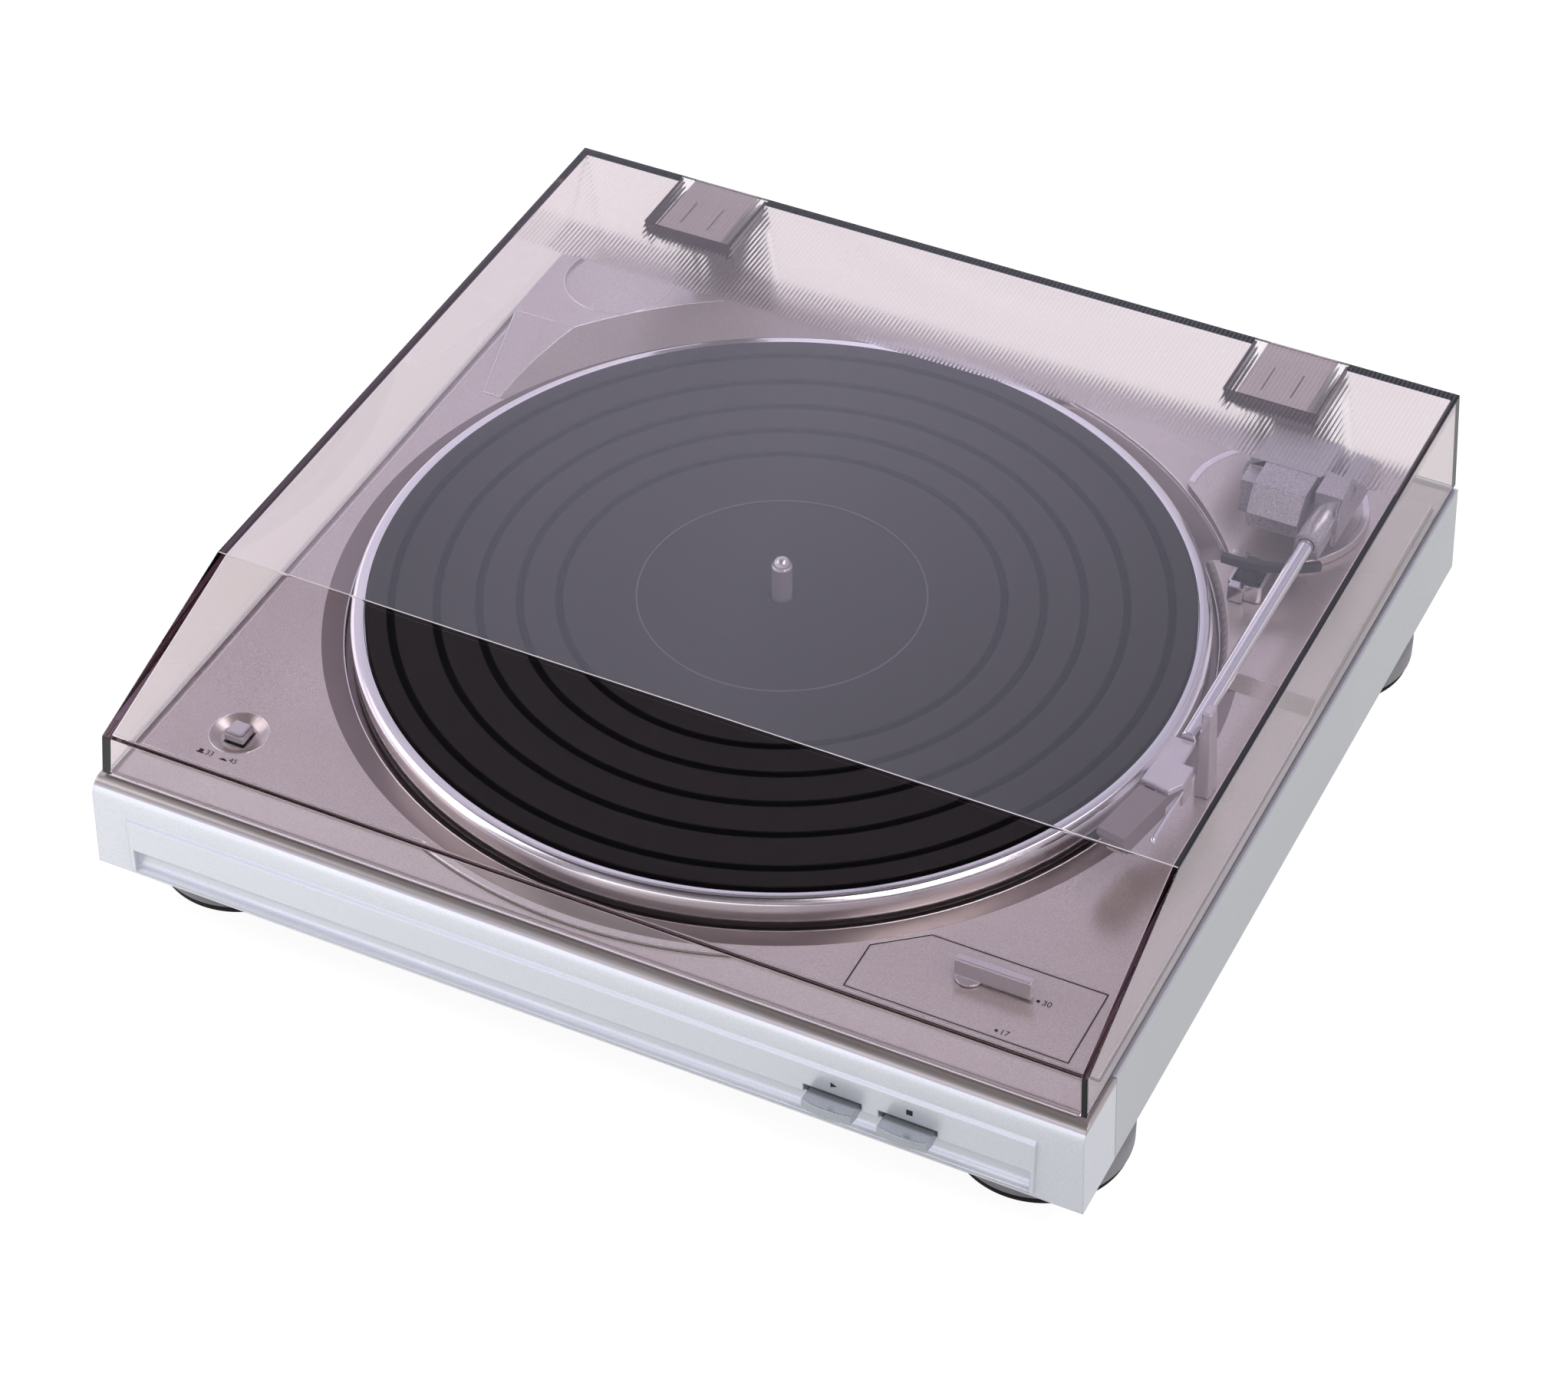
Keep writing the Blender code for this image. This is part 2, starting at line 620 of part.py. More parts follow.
def mesh_object(name, form, origin):
    """Make an object whose mesh is stored about the given origin."""
    mesh = bpy.data.meshes.new(name)
    middle = Vector(origin)
    mesh.from_pydata([p - middle for p in form[0]], [], form[1])
    mesh.shade_smooth()
    mesh.set_sharp_from_angle(angle=math.radians(30))
    made = bpy.data.objects.new(name, mesh)
    made.location = middle
    bpy.context.scene.collection.objects.link(made)
    return made


def solid(name, finish, form, steps=(), origin=(0, 0, 0)):
    """Make a node from a form, then add or cut further forms in order."""
    made = mesh_object(name, form, origin)
    made.data.materials.append(material(finish))
    for number, (kind, tool_form) in enumerate(steps):
        tool = mesh_object(f"{name}_{kind}_{number}", tool_form, origin)
        tool.hide_render = True
        tool.display_type = "WIRE"
        change = made.modifiers.new(tool.name, "BOOLEAN")
        change.operation = "UNION" if kind == "add" else "DIFFERENCE"
        change.solver = "EXACT"
        change.object = tool
    return made


# Plinth: cabinet, front panel and bottom cover

def rectangle_loop(half_width, front, rear, height):
    """Return one rectangular loop of a drafted box."""
    return [
        (-half_width, front, height),
        (half_width, front, height),
        (half_width, rear, height),
        (-half_width, rear, height),
    ]


def plinth_block(front_back=0):
    """Make the drafted outer block of the plinth."""
    return loft([
        rectangle_loop(HALF_WIDTH, FRONT_Y + BAND_PROUD + front_back, REAR_Y, BASE_Z),
        rectangle_loop(
            HALF_WIDTH - DRAFT_IN, FRONT_Y + BAND_PROUD + front_back, REAR_Y - DRAFT_IN, LEDGE_Z
        ),
    ])


def deck_outline():
    """Return the deck's outline: a rectangle whose front bulges round the ring."""
    radius = RING_RADIUS + DECK_BULGE
    sag = PLATTER_Y - DECK_FRONT_Y
    half = math.sqrt(radius ** 2 - sag ** 2)
    spread = math.degrees(math.atan2(half, sag))
    bulge = circle(radius, SMALL, (PLATTER_X, PLATTER_Y), 270 - spread, 270 + spread)
    return bulge + [
        (DECK_HALF_WIDTH, DECK_FRONT_Y),
        (DECK_HALF_WIDTH, DECK_REAR_Y),
        (-DECK_HALF_WIDTH, DECK_REAR_Y),
        (-DECK_HALF_WIDTH, DECK_FRONT_Y),
    ]


def adapter_block():
    """Return the block behind the platter and the ramp that leads up to it."""
    low = UNDER_LEDGE_Z + SINK
    top = DECK_Z + BLOCK_RISE
    front = DECK_REAR_Y - BLOCK_REAR_LENGTH
    toe = front - BLOCK_RAMP_DEPTH
    left = -DECK_HALF_WIDTH
    toe_z = DECK_Z + RAMP_TOE_RISE
    block = box(left, PLATTER_X, front, DECK_REAR_Y, low, top)
    lower = [
        (left, front + SINK, low), (PLATTER_X, front + SINK, low),
        (left + RAMP_TOE_LEFT + RAMP_TOE_WIDTH, toe, low), (left + RAMP_TOE_LEFT, toe, low),
    ]
    upper = [
        (left, front + SINK, top), (PLATTER_X, front + SINK, top),
        (left + RAMP_TOE_LEFT + RAMP_TOE_WIDTH, toe, toe_z), (left + RAMP_TOE_LEFT, toe, toe_z),
    ]
    return block, loft([lower, upper])


def block_cone_cutter():
    """Return the cone that scoops the block away round the platter."""
    step = BLOCK_RISE + OVERRUN
    reach = RING_RADIUS + BLOCK_CONE_WIDTH * step / BLOCK_RISE
    return turned(
        [(0, DECK_Z), (RING_RADIUS, DECK_Z), (reach, DECK_Z + step), (0, DECK_Z + step)],
        (PLATTER_X, PLATTER_Y),
        FINE,
    )


def ring_arc(radius, from_y, to_y, count):
    """Return points on the right-hand side of a circle round the platter, by height in Y."""
    start = math.degrees(math.asin((from_y - PLATTER_Y) / radius))
    stop = math.degrees(math.asin((to_y - PLATTER_Y) / radius))
    return circle(radius, count, (PLATTER_X, PLATTER_Y), start, stop)


def arm_platform():
    """Return the low platform under the tonearm, with its sloped front."""
    front = PLATTER_Y + PLATFORM_FRONT
    low = UNDER_LEDGE_Z + SINK
    step_y = ARM_Y - ARM_BASE_RADIUS
    rear = DECK_REAR_Y - PLATFORM_REAR_MARGIN
    disc_arc = ring_arc(RING_RADIUS, step_y, rear, SMALL)
    right = DECK_HALF_WIDTH
    loops = []
    for height, radius, front_y in (
        (low, PLATFORM_RING_RADIUS - PLATFORM_RISE, front),
        (DECK_Z, PLATFORM_RING_RADIUS - PLATFORM_RISE, front),
        (PLATFORM_Z, PLATFORM_RING_RADIUS, front + PLATFORM_SLOPE),
    ):
        outline = ring_arc(radius, front_y, step_y - PLATFORM_RISE, SMALL) + disc_arc
        outline += [(right, rear), (right, front_y)]
        loops.append([(x, y, height) for x, y in outline])
    return loft(loops)


def plate_posts():
    """Return the places of the four posts that carry the mechanism plate."""
    left = PLATTER_X - PLATE_LEFT + 3 * PLATE_POST_RADIUS
    right = PLATTER_X + PLATE_RIGHT - 3 * PLATE_POST_RADIUS
    front = PLATTER_Y - PLATE_FRONT + 3 * PLATE_POST_RADIUS
    rear = PLATTER_Y + PLATE_REAR - 9 * PLATE_POST_RADIUS
    return [(left, front), (right, front), (left, rear), (right, rear)]


def selector_outline(margin=0):
    """Return the outline of the inset size panel, grown by a margin."""
    right = SELECTOR_RIGHT_X + margin
    left = SELECTOR_RIGHT_X - SELECTOR_PANEL_LENGTH - margin
    front = SELECTOR_FRONT_Y - margin
    rear = SELECTOR_FRONT_Y + SELECTOR_PANEL_DEPTH + margin
    return [
        (left, front), (right, front), (right, rear),
        (left + SELECTOR_PANEL_CORNER_X, rear), (left, rear - SELECTOR_PANEL_CORNER_Y),
    ]


def hinge_sides():
    """Return the middle of each hinge, left then right, with its name."""
    return [("left", -HINGE_FROM_CENTRE), ("right", HINGE_FROM_CENTRE)]


def make_cabinet():
    """Make the moulded cabinet: side and rear walls, ledge, deck and platter well."""
    block = plinth_block()
    panel_rear = FRONT_Y + PANEL_RETURN + GAP
    ledge_front = FRONT_Y + PANEL_TOP_STRIP + GAP
    cavity = box(
        -INNER_HALF_WIDTH, INNER_HALF_WIDTH, FRONT_Y - OVERRUN, INNER_REAR_Y,
        BASE_Z - OVERRUN, UNDER_LEDGE_Z,
    )
    front_off = box(
        -HALF_WIDTH - OVERRUN, HALF_WIDTH + OVERRUN, FRONT_Y - OVERRUN, ledge_front,
        BASE_Z - OVERRUN, LEDGE_Z + OVERRUN,
    )
    returns_off = merged([
        box(
            side * (INNER_HALF_WIDTH - GAP), side * (HALF_WIDTH + OVERRUN),
            FRONT_Y - OVERRUN, panel_rear, BASE_Z - OVERRUN, LEDGE_Z + OVERRUN,
        )
        for side in (-1, 1)
    ])
    deck = prism(deck_outline(), "z", UNDER_LEDGE_Z, DECK_Z)
    pan = rod(
        WELL_RADIUS + WELL_WALL, "z", WELL_UNDER_Z, DECK_Z - SINK, (PLATTER_X, PLATTER_Y), FINE
    )
    raised, ramp = adapter_block()
    well = turned(
        [
            (0, WELL_FLOOR_Z), (WELL_RADIUS, WELL_FLOOR_Z), (WELL_RADIUS, DECK_Z - RING_DROP),
            (RING_RADIUS, DECK_Z), (RING_RADIUS, DECK_Z + OVERRUN), (0, DECK_Z + OVERRUN),
        ],
        (PLATTER_X, PLATTER_Y), FINE,
    )
    posts = merged([
        rod(PLATE_POST_RADIUS, "z", PLATE_Z + GAP, WELL_UNDER_Z + SINK, place)
        for place in plate_posts()
    ])
    adapter = rod(
        ADAPTER_RADIUS, "z", DECK_Z + BLOCK_RISE - ADAPTER_DEPTH, DECK_Z + BLOCK_RISE + OVERRUN,
        (-DECK_HALF_WIDTH + ADAPTER_SIDE_INSET, DECK_REAR_Y - ADAPTER_REAR_INSET), ROUND,
    )
    dish = turned(
        [
            (0, DECK_Z - DISH_DEPTH), (DISH_FLOOR_RADIUS, DECK_Z - DISH_DEPTH),
            (DISH_RADIUS, DECK_Z), (DISH_RADIUS, DECK_Z + OVERRUN), (0, DECK_Z + OVERRUN),
        ],
        (BUTTON_X, BUTTON_Y),
    )
    pocket = prism(
        selector_outline(GAP), "z", DECK_Z - SELECTOR_PANEL_THICK - GAP, DECK_Z + OVERRUN
    )
    through = merged([
        box(
            BUTTON_X - BUTTON_WIDTH / 2 - GAP, BUTTON_X + BUTTON_WIDTH / 2 + GAP,
            BUTTON_Y - BUTTON_DEPTH / 2 - GAP, BUTTON_Y + BUTTON_DEPTH / 2 + GAP,
            UNDER_LEDGE_Z - OVERRUN, DECK_Z + OVERRUN,
        ),
        rod(LEVER_SHAFT_RADIUS + 2 * GAP, "z", UNDER_LEDGE_Z - OVERRUN, DECK_Z + OVERRUN,
            (LEVER_X, LEVER_Y)),
        rod(ARM_SLEEVE_RADIUS + GAP, "z", UNDER_LEDGE_Z - OVERRUN, PLATFORM_Z + OVERRUN,
            (ARM_X, ARM_Y)),
        rod(LIFTER_ROD_RADIUS + GAP, "z", WELL_UNDER_Z - OVERRUN, PLATFORM_Z + OVERRUN,
            (LIFTER_X, LIFTER_Y + LIFTER_DEPTH / 2)),
        rod(PINION_RADIUS + 2 * GEAR_MODULE, "z", WELL_UNDER_Z - OVERRUN, DECK_Z,
            (PLATTER_X, PLATTER_Y), ROUND),
        rod(PULLEY_RADIUS + PULLEY_FLANGE + GAP, "z", WELL_UNDER_Z - OVERRUN, DECK_Z,
            (MOTOR_X, MOTOR_Y)),
    ])
    hinge_cuts = []
    for _, middle in hinge_sides():
        half = HINGE_WIDTH / 2
        hinge_cuts.append(box(
            middle - half, middle + half, INNER_REAR_Y - HINGE_BASE_FLOOR, REAR_Y + OVERRUN,
            HINGE_AXIS_Z - HINGE_BARREL_RADIUS - GAP - HINGE_BASE_FLOOR, LEDGE_Z + OVERRUN,
        ))
    for side in (-1, 1):
        hinge_cuts.append(rod(
            GLAND_RADIUS + GAP, "y", INNER_REAR_Y - OVERRUN, REAR_Y + OVERRUN,
            (side * GLAND_FROM_CENTRE, BASE_Z + PLINTH_HEIGHT / 2),
        ))
    solid("cabinet", "mauve_metallic", block, [
        ("cut", cavity), ("cut", front_off), ("cut", returns_off), ("add", deck), ("add", pan),
        ("add", raised), ("add", ramp), ("cut", block_cone_cutter()), ("cut", well),
        ("add", arm_platform()), ("add", posts), ("cut", merged([adapter, dish, pocket])),
        ("cut", through), ("cut", merged(hinge_cuts)),
    ])


def make_front_panel():
    """Make the silver front panel with its raised band, finger cove and key holes."""
    rear = FRONT_Y + PANEL_RETURN
    block = plinth_block()
    behind = box(
        -HALF_WIDTH - OVERRUN, HALF_WIDTH + OVERRUN, rear, REAR_Y + OVERRUN,
        BASE_Z - OVERRUN, LEDGE_Z + OVERRUN,
    )
    inside = box(
        -INNER_HALF_WIDTH, INNER_HALF_WIDTH, FRONT_Y + PANEL_THICK, rear + OVERRUN,
        BASE_Z - OVERRUN, UNDER_LEDGE_Z,
    )
    over = box(
        -INNER_HALF_WIDTH, INNER_HALF_WIDTH, FRONT_Y + PANEL_TOP_STRIP, rear + OVERRUN,
        UNDER_LEDGE_Z - OVERRUN, LEDGE_Z + OVERRUN,
    )
    face = FRONT_Y + BAND_PROUD
    bevel = prism(
        [
            (face - OVERRUN, LEDGE_Z - PANEL_BEVEL_HEIGHT), (face, LEDGE_Z - PANEL_BEVEL_HEIGHT),
            (face + PANEL_BEVEL_DEPTH, LEDGE_Z), (face + PANEL_BEVEL_DEPTH, LEDGE_Z + OVERRUN),
            (face - OVERRUN, LEDGE_Z + OVERRUN),
        ],
        "x", -HALF_WIDTH - OVERRUN, HALF_WIDTH + OVERRUN,
    )
    left = -HALF_WIDTH + BAND_LEFT_MARGIN
    right = HALF_WIDTH - BAND_RIGHT_MARGIN
    band = prism(
        [
            (face + SINK, BASE_Z + BAND_LOW), (FRONT_Y, BASE_Z + BAND_LOW),
            (FRONT_Y, BASE_Z + BAND_HIGH - BAND_FACET), (face, BASE_Z + BAND_HIGH),
            (face + SINK, BASE_Z + BAND_HIGH),
        ],
        "x", left, right,
    )
    cove_middle = BASE_Z + (BAND_LOW + COVE_HIGH) / 2
    half_cove = (COVE_HIGH - BAND_LOW) / 2 - SINK
    cove_radius = (half_cove ** 2 + COVE_DEPTH ** 2) / (2 * COVE_DEPTH)
    cove_centre = FRONT_Y + COVE_DEPTH - cove_radius
    spread = math.degrees(math.asin(half_cove / cove_radius))
    cove_arc = circle(cove_radius, SMALL, (cove_centre, cove_middle), -spread, spread)
    cove_arc += [
        (FRONT_Y - OVERRUN, cove_middle + half_cove), (FRONT_Y - OVERRUN, cove_middle - half_cove)
    ]
    cove = prism(cove_arc, "x", left + COVE_END, right - COVE_END)
    key_holes = merged([
        box(
            middle - KEY_WIDTH / 2 - KEY_HOLE_LEFT, middle + KEY_WIDTH / 2 + KEY_HOLE_RIGHT,
            FRONT_Y - OVERRUN, FRONT_Y + PANEL_THICK + OVERRUN,
            KEY_TOP_Z - KEY_THICK - GAP, KEY_TOP_Z + KEY_RISE + GAP,
        )
        for middle in KEY_CENTRES
    ])
    solid("front_panel", "silver_paint", block, [
        ("cut", behind), ("cut", inside), ("cut", over), ("cut", bevel), ("add", band),
        ("cut", cove), ("cut", key_holes),
    ])


def board_corner():
    """Return the front left corner of the circuit board."""
    return -HALF_WIDTH + BOARD_INSET_X, FRONT_Y + BOARD_INSET_Y


def screw_places():
    """Return the places of the screws that hold the bottom cover."""
    side = INNER_HALF_WIDTH - SCREW_SIDE_INSET
    middle = (FRONT_Y + REAR_Y) / 2
    rear = INNER_REAR_Y - SCREW_SIDE_INSET
    return [(-side, middle), (side, middle), (0, rear), (-side, rear), (side, rear)]


def make_bottom_cover():
    """Make the bottom cover with standoffs for the board and bosses for its screws."""
    front = FRONT_Y + PANEL_THICK + GAP
    plate = box(
        -INNER_HALF_WIDTH + GAP, INNER_HALF_WIDTH - GAP, front, INNER_REAR_Y - GAP,
        BOTTOM_LOW_Z, BOTTOM_Z,
    )
    x, y = board_corner()
    standoffs = []
    for dx in (STANDOFF_INSET, BOARD_WIDTH - STANDOFF_INSET):
        for dy in (STANDOFF_INSET, BOARD_DEPTH - STANDOFF_INSET):
            standoffs.append(rod(
                STANDOFF_RADIUS, "z", BOTTOM_Z - SINK, BOTTOM_Z + BOARD_LIFT - GAP,
                (x + dx, y + dy),
            ))
    for place in screw_places():
        standoffs.append(rod(
            2 * SCREW_HEAD_RADIUS, "z", BOTTOM_Z - SINK,
            BOTTOM_Z + SCREW_SHANK_LENGTH, place,
        ))
    holes = merged([
        rod(SCREW_SHANK_RADIUS + GAP, "z", BOTTOM_LOW_Z - OVERRUN,
            BOTTOM_Z + SCREW_SHANK_LENGTH - BOTTOM_THICK, place)
        for place in screw_places()
    ])
    solid("bottom_cover", "black_plastic", plate, [("add", merged(standoffs)), ("cut", holes)])


def make_feet():
    """Make four feet and the rubber pad under each."""
    top = BOTTOM_LOW_Z - GAP
    low = PAD_HEIGHT + GAP
    rim = low + FOOT_RIM_HEIGHT
    for side_name, x in (("left", -FOOT_X), ("right", FOOT_X)):
        for end_name, y in (("front", FOOT_FRONT_Y), ("rear", FOOT_REAR_Y)):
            foot = turned(
                [
                    (0, low), (FOOT_RADIUS, low), (FOOT_RADIUS, rim),
                    (FOOT_NECK_RADIUS, rim + FOOT_TAPER), (FOOT_NECK_RADIUS, top), (0, top),
                ],
                (x, y),
            )
            solid(f"foot_{end_name}_{side_name}", "grey_plastic", foot)
            pad = rod(FOOT_RADIUS - PAD_INSET, "z", 0, PAD_HEIGHT, (x, y), ROUND)
            solid(f"foot_pad_{end_name}_{side_name}", "black_rubber", pad)


# Platter group

def make_platter():
    """Make the platter casting, its mat, the fixed spindle and the thrust washer."""
    centre = (PLATTER_X, PLATTER_Y)
    axis = (PLATTER_X, PLATTER_Y, 0)
    bore = SPINDLE_RADIUS + GAP
    stem_low = PLATE_Z + WASHER_THICK + 2 * GAP
    gear_top = GEAR_LOW_Z + GEAR_THICK + GAP
    inner_rim = PLATTER_RADIUS - PLATTER_RIM_WALL
    lip = PLATTER_RADIUS - PLATTER_RIM_WALL - GAP
    rim_low = RIM_Z - PLATTER_RIM_HEIGHT
    drum_low = WEB_LOW_Z - DRUM_DEPTH
    solid("platter", "bare_aluminium", turned(
        [
            (bore, stem_low), (HUB_STEM_RADIUS, stem_low), (HUB_STEM_RADIUS, gear_top),
            (HUB_RADIUS, gear_top), (HUB_RADIUS, WEB_LOW_Z), (DRUM_RADIUS - DRUM_WALL, WEB_LOW_Z),
            (DRUM_RADIUS - DRUM_WALL, drum_low), (DRUM_RADIUS, drum_low),
            (DRUM_RADIUS, WEB_LOW_Z), (inner_rim, WEB_LOW_Z), (inner_rim, rim_low),
            (PLATTER_RADIUS, rim_low), (PLATTER_RADIUS, RIM_Z - PLATTER_CHAMFER),
            (PLATTER_RADIUS - PLATTER_CHAMFER, RIM_Z), (lip, RIM_Z), (lip, WEB_Z), (bore, WEB_Z),
        ],
        centre, FINE,
    ), origin=axis)
    mat_radius = lip - GAP
    solid("platter_mat", "black_rubber", turned(
        [
            (bore, MAT_LOW_Z), (mat_radius, MAT_LOW_Z), (mat_radius, MAT_Z),
            (MAT_LABEL_RADIUS, MAT_Z), (MAT_LABEL_RADIUS, MAT_Z - MAT_LABEL_DROP),
            (bore, MAT_Z - MAT_LABEL_DROP),
        ],
        centre, FINE,
    ), origin=axis)
    flange_top = PLATE_LOW_Z - GAP
    tip = MAT_Z + SPINDLE_ABOVE_MAT
    round_in = SPINDLE_RADIUS / 3
    solid("spindle", "chrome", turned(
        [
            (0, flange_top - SPINDLE_FLANGE_THICK),
            (SPINDLE_FLANGE_RADIUS, flange_top - SPINDLE_FLANGE_THICK),
            (SPINDLE_FLANGE_RADIUS, flange_top), (SPINDLE_RADIUS, flange_top),
            (SPINDLE_RADIUS, tip - 2 * round_in), (2 * round_in, tip - round_in / 2), (0, tip),
        ],
        centre, SMALL,
    ))
    solid("thrust_washer", "brass", turned(
        [
            (bore, PLATE_Z + GAP), (WASHER_RADIUS, PLATE_Z + GAP),
            (WASHER_RADIUS, PLATE_Z + GAP + WASHER_THICK), (bore, PLATE_Z + GAP + WASHER_THICK),
        ],
        centre, SMALL,
    ))


def gear_outline(teeth, centre, first_angle, missing=()):
    """Return a gear's outline with straight-sided teeth; first_angle is the middle of tooth 0."""
    pitch_radius = GEAR_MODULE * teeth / 2
    tip = pitch_radius + GEAR_MODULE
    root = pitch_radius - 1.25 * GEAR_MODULE
    thinner = math.degrees(GEAR_BACKLASH / pitch_radius)
    step = 360 / teeth
    points = []
    for number in range(teeth):
        middle = first_angle + number * step
        top = root if number in missing else tip
        for share, radius in ((-0.36, root), (-0.13, top), (0.13, top), (0.36, root)):
            lean = thinner if share < 0 else -thinner
            angle = math.radians(middle + share * step + lean)
            points.append((
                centre[0] + radius * math.cos(angle), centre[1] + radius * math.sin(angle)
            ))
    return points


def make_gears():
    """Make the pinion on the platter's stem, the cam gear, its axle and the stop switch."""
    half_step = 180 / CAM_TEETH
    towards_pinion = CAM_ANGLE + 180
    pinion_axis = (PLATTER_X, PLATTER_Y, 0)
    pinion = prism(
        gear_outline(PINION_TEETH, (PLATTER_X, PLATTER_Y), CAM_ANGLE), "z",
        GEAR_LOW_Z, GEAR_LOW_Z + GEAR_THICK,
    )
    bore = rod(
        HUB_STEM_RADIUS + GAP, "z", GEAR_LOW_Z - OVERRUN, GEAR_LOW_Z + GEAR_THICK + OVERRUN,
        (PLATTER_X, PLATTER_Y),
    )
    solid("hub_pinion", "white_acetal", pinion, [("cut", bore)], pinion_axis)
    half_gap = CAM_MISSING_TEETH // 2 + 1
    missing = set(range(half_gap)) | set(range(CAM_TEETH - half_gap, CAM_TEETH))
    centre = (CAM_X, CAM_Y)
    cam_axis = (CAM_X, CAM_Y, 0)
    gear_top = GEAR_LOW_Z + GEAR_THICK
    gear = prism(
        gear_outline(CAM_TEETH, centre, towards_pinion + half_step, missing), "z",
        GEAR_LOW_Z, gear_top,
    )
    recess_radius = CAM_RADIUS - 2 * GEAR_MODULE - CAM_RIM
    recess = turned(
        [
            (CAM_BOSS_RADIUS, GEAR_LOW_Z + CAM_WEB), (recess_radius, GEAR_LOW_Z + CAM_WEB),
            (recess_radius, gear_top + OVERRUN), (CAM_BOSS_RADIUS, gear_top + OVERRUN),
        ],
        centre,
    )
    boss = rod(CAM_BOSS_RADIUS, "z", PLATE_Z + GAP, GEAR_LOW_Z + SINK, centre)
    axle_hole = rod(CAM_AXLE_RADIUS + GAP, "z", PLATE_Z, gear_top + OVERRUN, centre)
    solid("cam_gear", "white_acetal", gear, [
        ("cut", recess), ("add", boss), ("cut", axle_hole)
    ], cam_axis)
    flange_top = PLATE_LOW_Z - GAP
    solid("cam_axle", "zinc_steel", turned(
        [
            (0, flange_top - PLATE_THICK), (2 * CAM_AXLE_RADIUS, flange_top - PLATE_THICK),
            (2 * CAM_AXLE_RADIUS, flange_top), (CAM_AXLE_RADIUS, flange_top),
            (CAM_AXLE_RADIUS, gear_top + GAP), (0, gear_top + GAP),
        ],
        centre, SMALL,
    ))
    switch_x = CAM_X + CAM_RADIUS + 3 * GEAR_MODULE
    solid("stop_switch", "black_plastic", box(
        switch_x, switch_x + SWITCH_WIDTH, CAM_Y - SWITCH_LENGTH, CAM_Y,
        PLATE_Z + GAP, PLATE_Z + GAP + SWITCH_HEIGHT,
    ))


def make_mechanism_plate():
    """Make the steel plate that carries the spindle, motor, gears and arm bearing."""
    left = PLATTER_X - PLATE_LEFT
    front = PLATTER_Y - PLATE_FRONT
    right = PLATTER_X + PLATE_RIGHT
    rear = PLATTER_Y + PLATE_REAR
    arm_right = ARM_X + PLATE_ARM_MARGIN
    arm_rear = ARM_Y + PLATE_ARM_MARGIN
    outline = [
        (left, front), (right, front), (arm_right, PLATTER_Y + PLATE_RIGHT / 2),
        (arm_right, arm_rear), (ARM_X - PLATE_ARM_MARGIN, arm_rear),
        (ARM_X - 2 * PLATE_ARM_MARGIN, rear), (left, rear),
    ]
    top = PLATE_Z + OVERRUN
    low = PLATE_LOW_Z - OVERRUN
    holes = merged([
        rod(SPINDLE_RADIUS + GAP, "z", low, top, (PLATTER_X, PLATTER_Y)),
        rod(CAM_AXLE_RADIUS + GAP, "z", low, top, (CAM_X, CAM_Y)),
        rod(3 * MOTOR_SHAFT_RADIUS, "z", low, top, (MOTOR_X, MOTOR_Y)),
        rod(ARM_SHAFT_RADIUS + GAP, "z", low, top, (ARM_X, ARM_Y)),
        rod(LIFTER_ROD_RADIUS + GAP, "z", low, top, (LIFTER_X, LIFTER_Y + LIFTER_DEPTH / 2)),
    ])
    solid("mechanism_plate", "zinc_steel", prism(outline, "z", PLATE_LOW_Z, PLATE_Z), [
        ("cut", holes)
    ])


def belt_outline(drum, pulley, distance, turn):
    """Return the loop round two circles, the first at the platter, the second along turn."""
    lean = math.degrees(math.acos((drum - pulley) / distance))
    motor = (MOTOR_X, MOTOR_Y)
    around_drum = circle(drum, FINE, (PLATTER_X, PLATTER_Y), turn + lean, turn + 360 - lean)
    return around_drum + circle(pulley, SMALL, motor, turn - lean, turn + lean)


def make_drive():
    """Make the motor, its pulley and the flat belt round the drum."""
    centre = (MOTOR_X, MOTOR_Y)
    top = PLATE_LOW_Z - GAP
    shaft_hole = rod(
        MOTOR_SHAFT_RADIUS + GAP, "z", top - MOTOR_SHAFT_DEPTH - GAP, top + OVERRUN, centre
    )
    solid("motor", "zinc_steel", rod(MOTOR_RADIUS, "z", top - MOTOR_HEIGHT, top, centre, ROUND), [
        ("cut", shaft_hole)
    ])
    pulley_top = WEB_LOW_Z - 2 * GAP
    pulley_low = pulley_top - PULLEY_HEIGHT
    flange = PULLEY_RADIUS + PULLEY_FLANGE
    belt_low = pulley_low + (PULLEY_HEIGHT - BELT_WIDTH) / 2
    belt_top = belt_low + BELT_WIDTH
    pulley_low_flange = belt_low - GAP
    solid("motor_pulley", "brass", turned(
        [
            (0, top - MOTOR_SHAFT_DEPTH), (MOTOR_SHAFT_RADIUS, top - MOTOR_SHAFT_DEPTH),
            (MOTOR_SHAFT_RADIUS, pulley_low), (flange, pulley_low),
            (flange, pulley_low_flange), (PULLEY_RADIUS, pulley_low_flange),
            (PULLEY_RADIUS, belt_top + GAP), (flange, belt_top + GAP),
            (flange, pulley_top), (0, pulley_top),
        ],
        centre, SMALL,
    ), origin=(MOTOR_X, MOTOR_Y, 0))
    inner = (DRUM_RADIUS + GAP) / math.cos(math.pi / FINE)
    outer = inner + BELT_THICK
    pulley_inner = (PULLEY_RADIUS + GAP) / math.cos(math.pi / SMALL)
    pulley_outer = pulley_inner + BELT_THICK
    loop_out = belt_outline(outer, pulley_outer, MOTOR_DISTANCE, MOTOR_ANGLE)
    loop_in = belt_outline(inner, pulley_inner, MOTOR_DISTANCE, MOTOR_ANGLE)
    hole = prism(loop_in, "z", belt_low - OVERRUN, belt_top + OVERRUN)
    solid("drive_belt", "black_rubber", prism(loop_out, "z", belt_low, belt_top), [("cut", hole)])


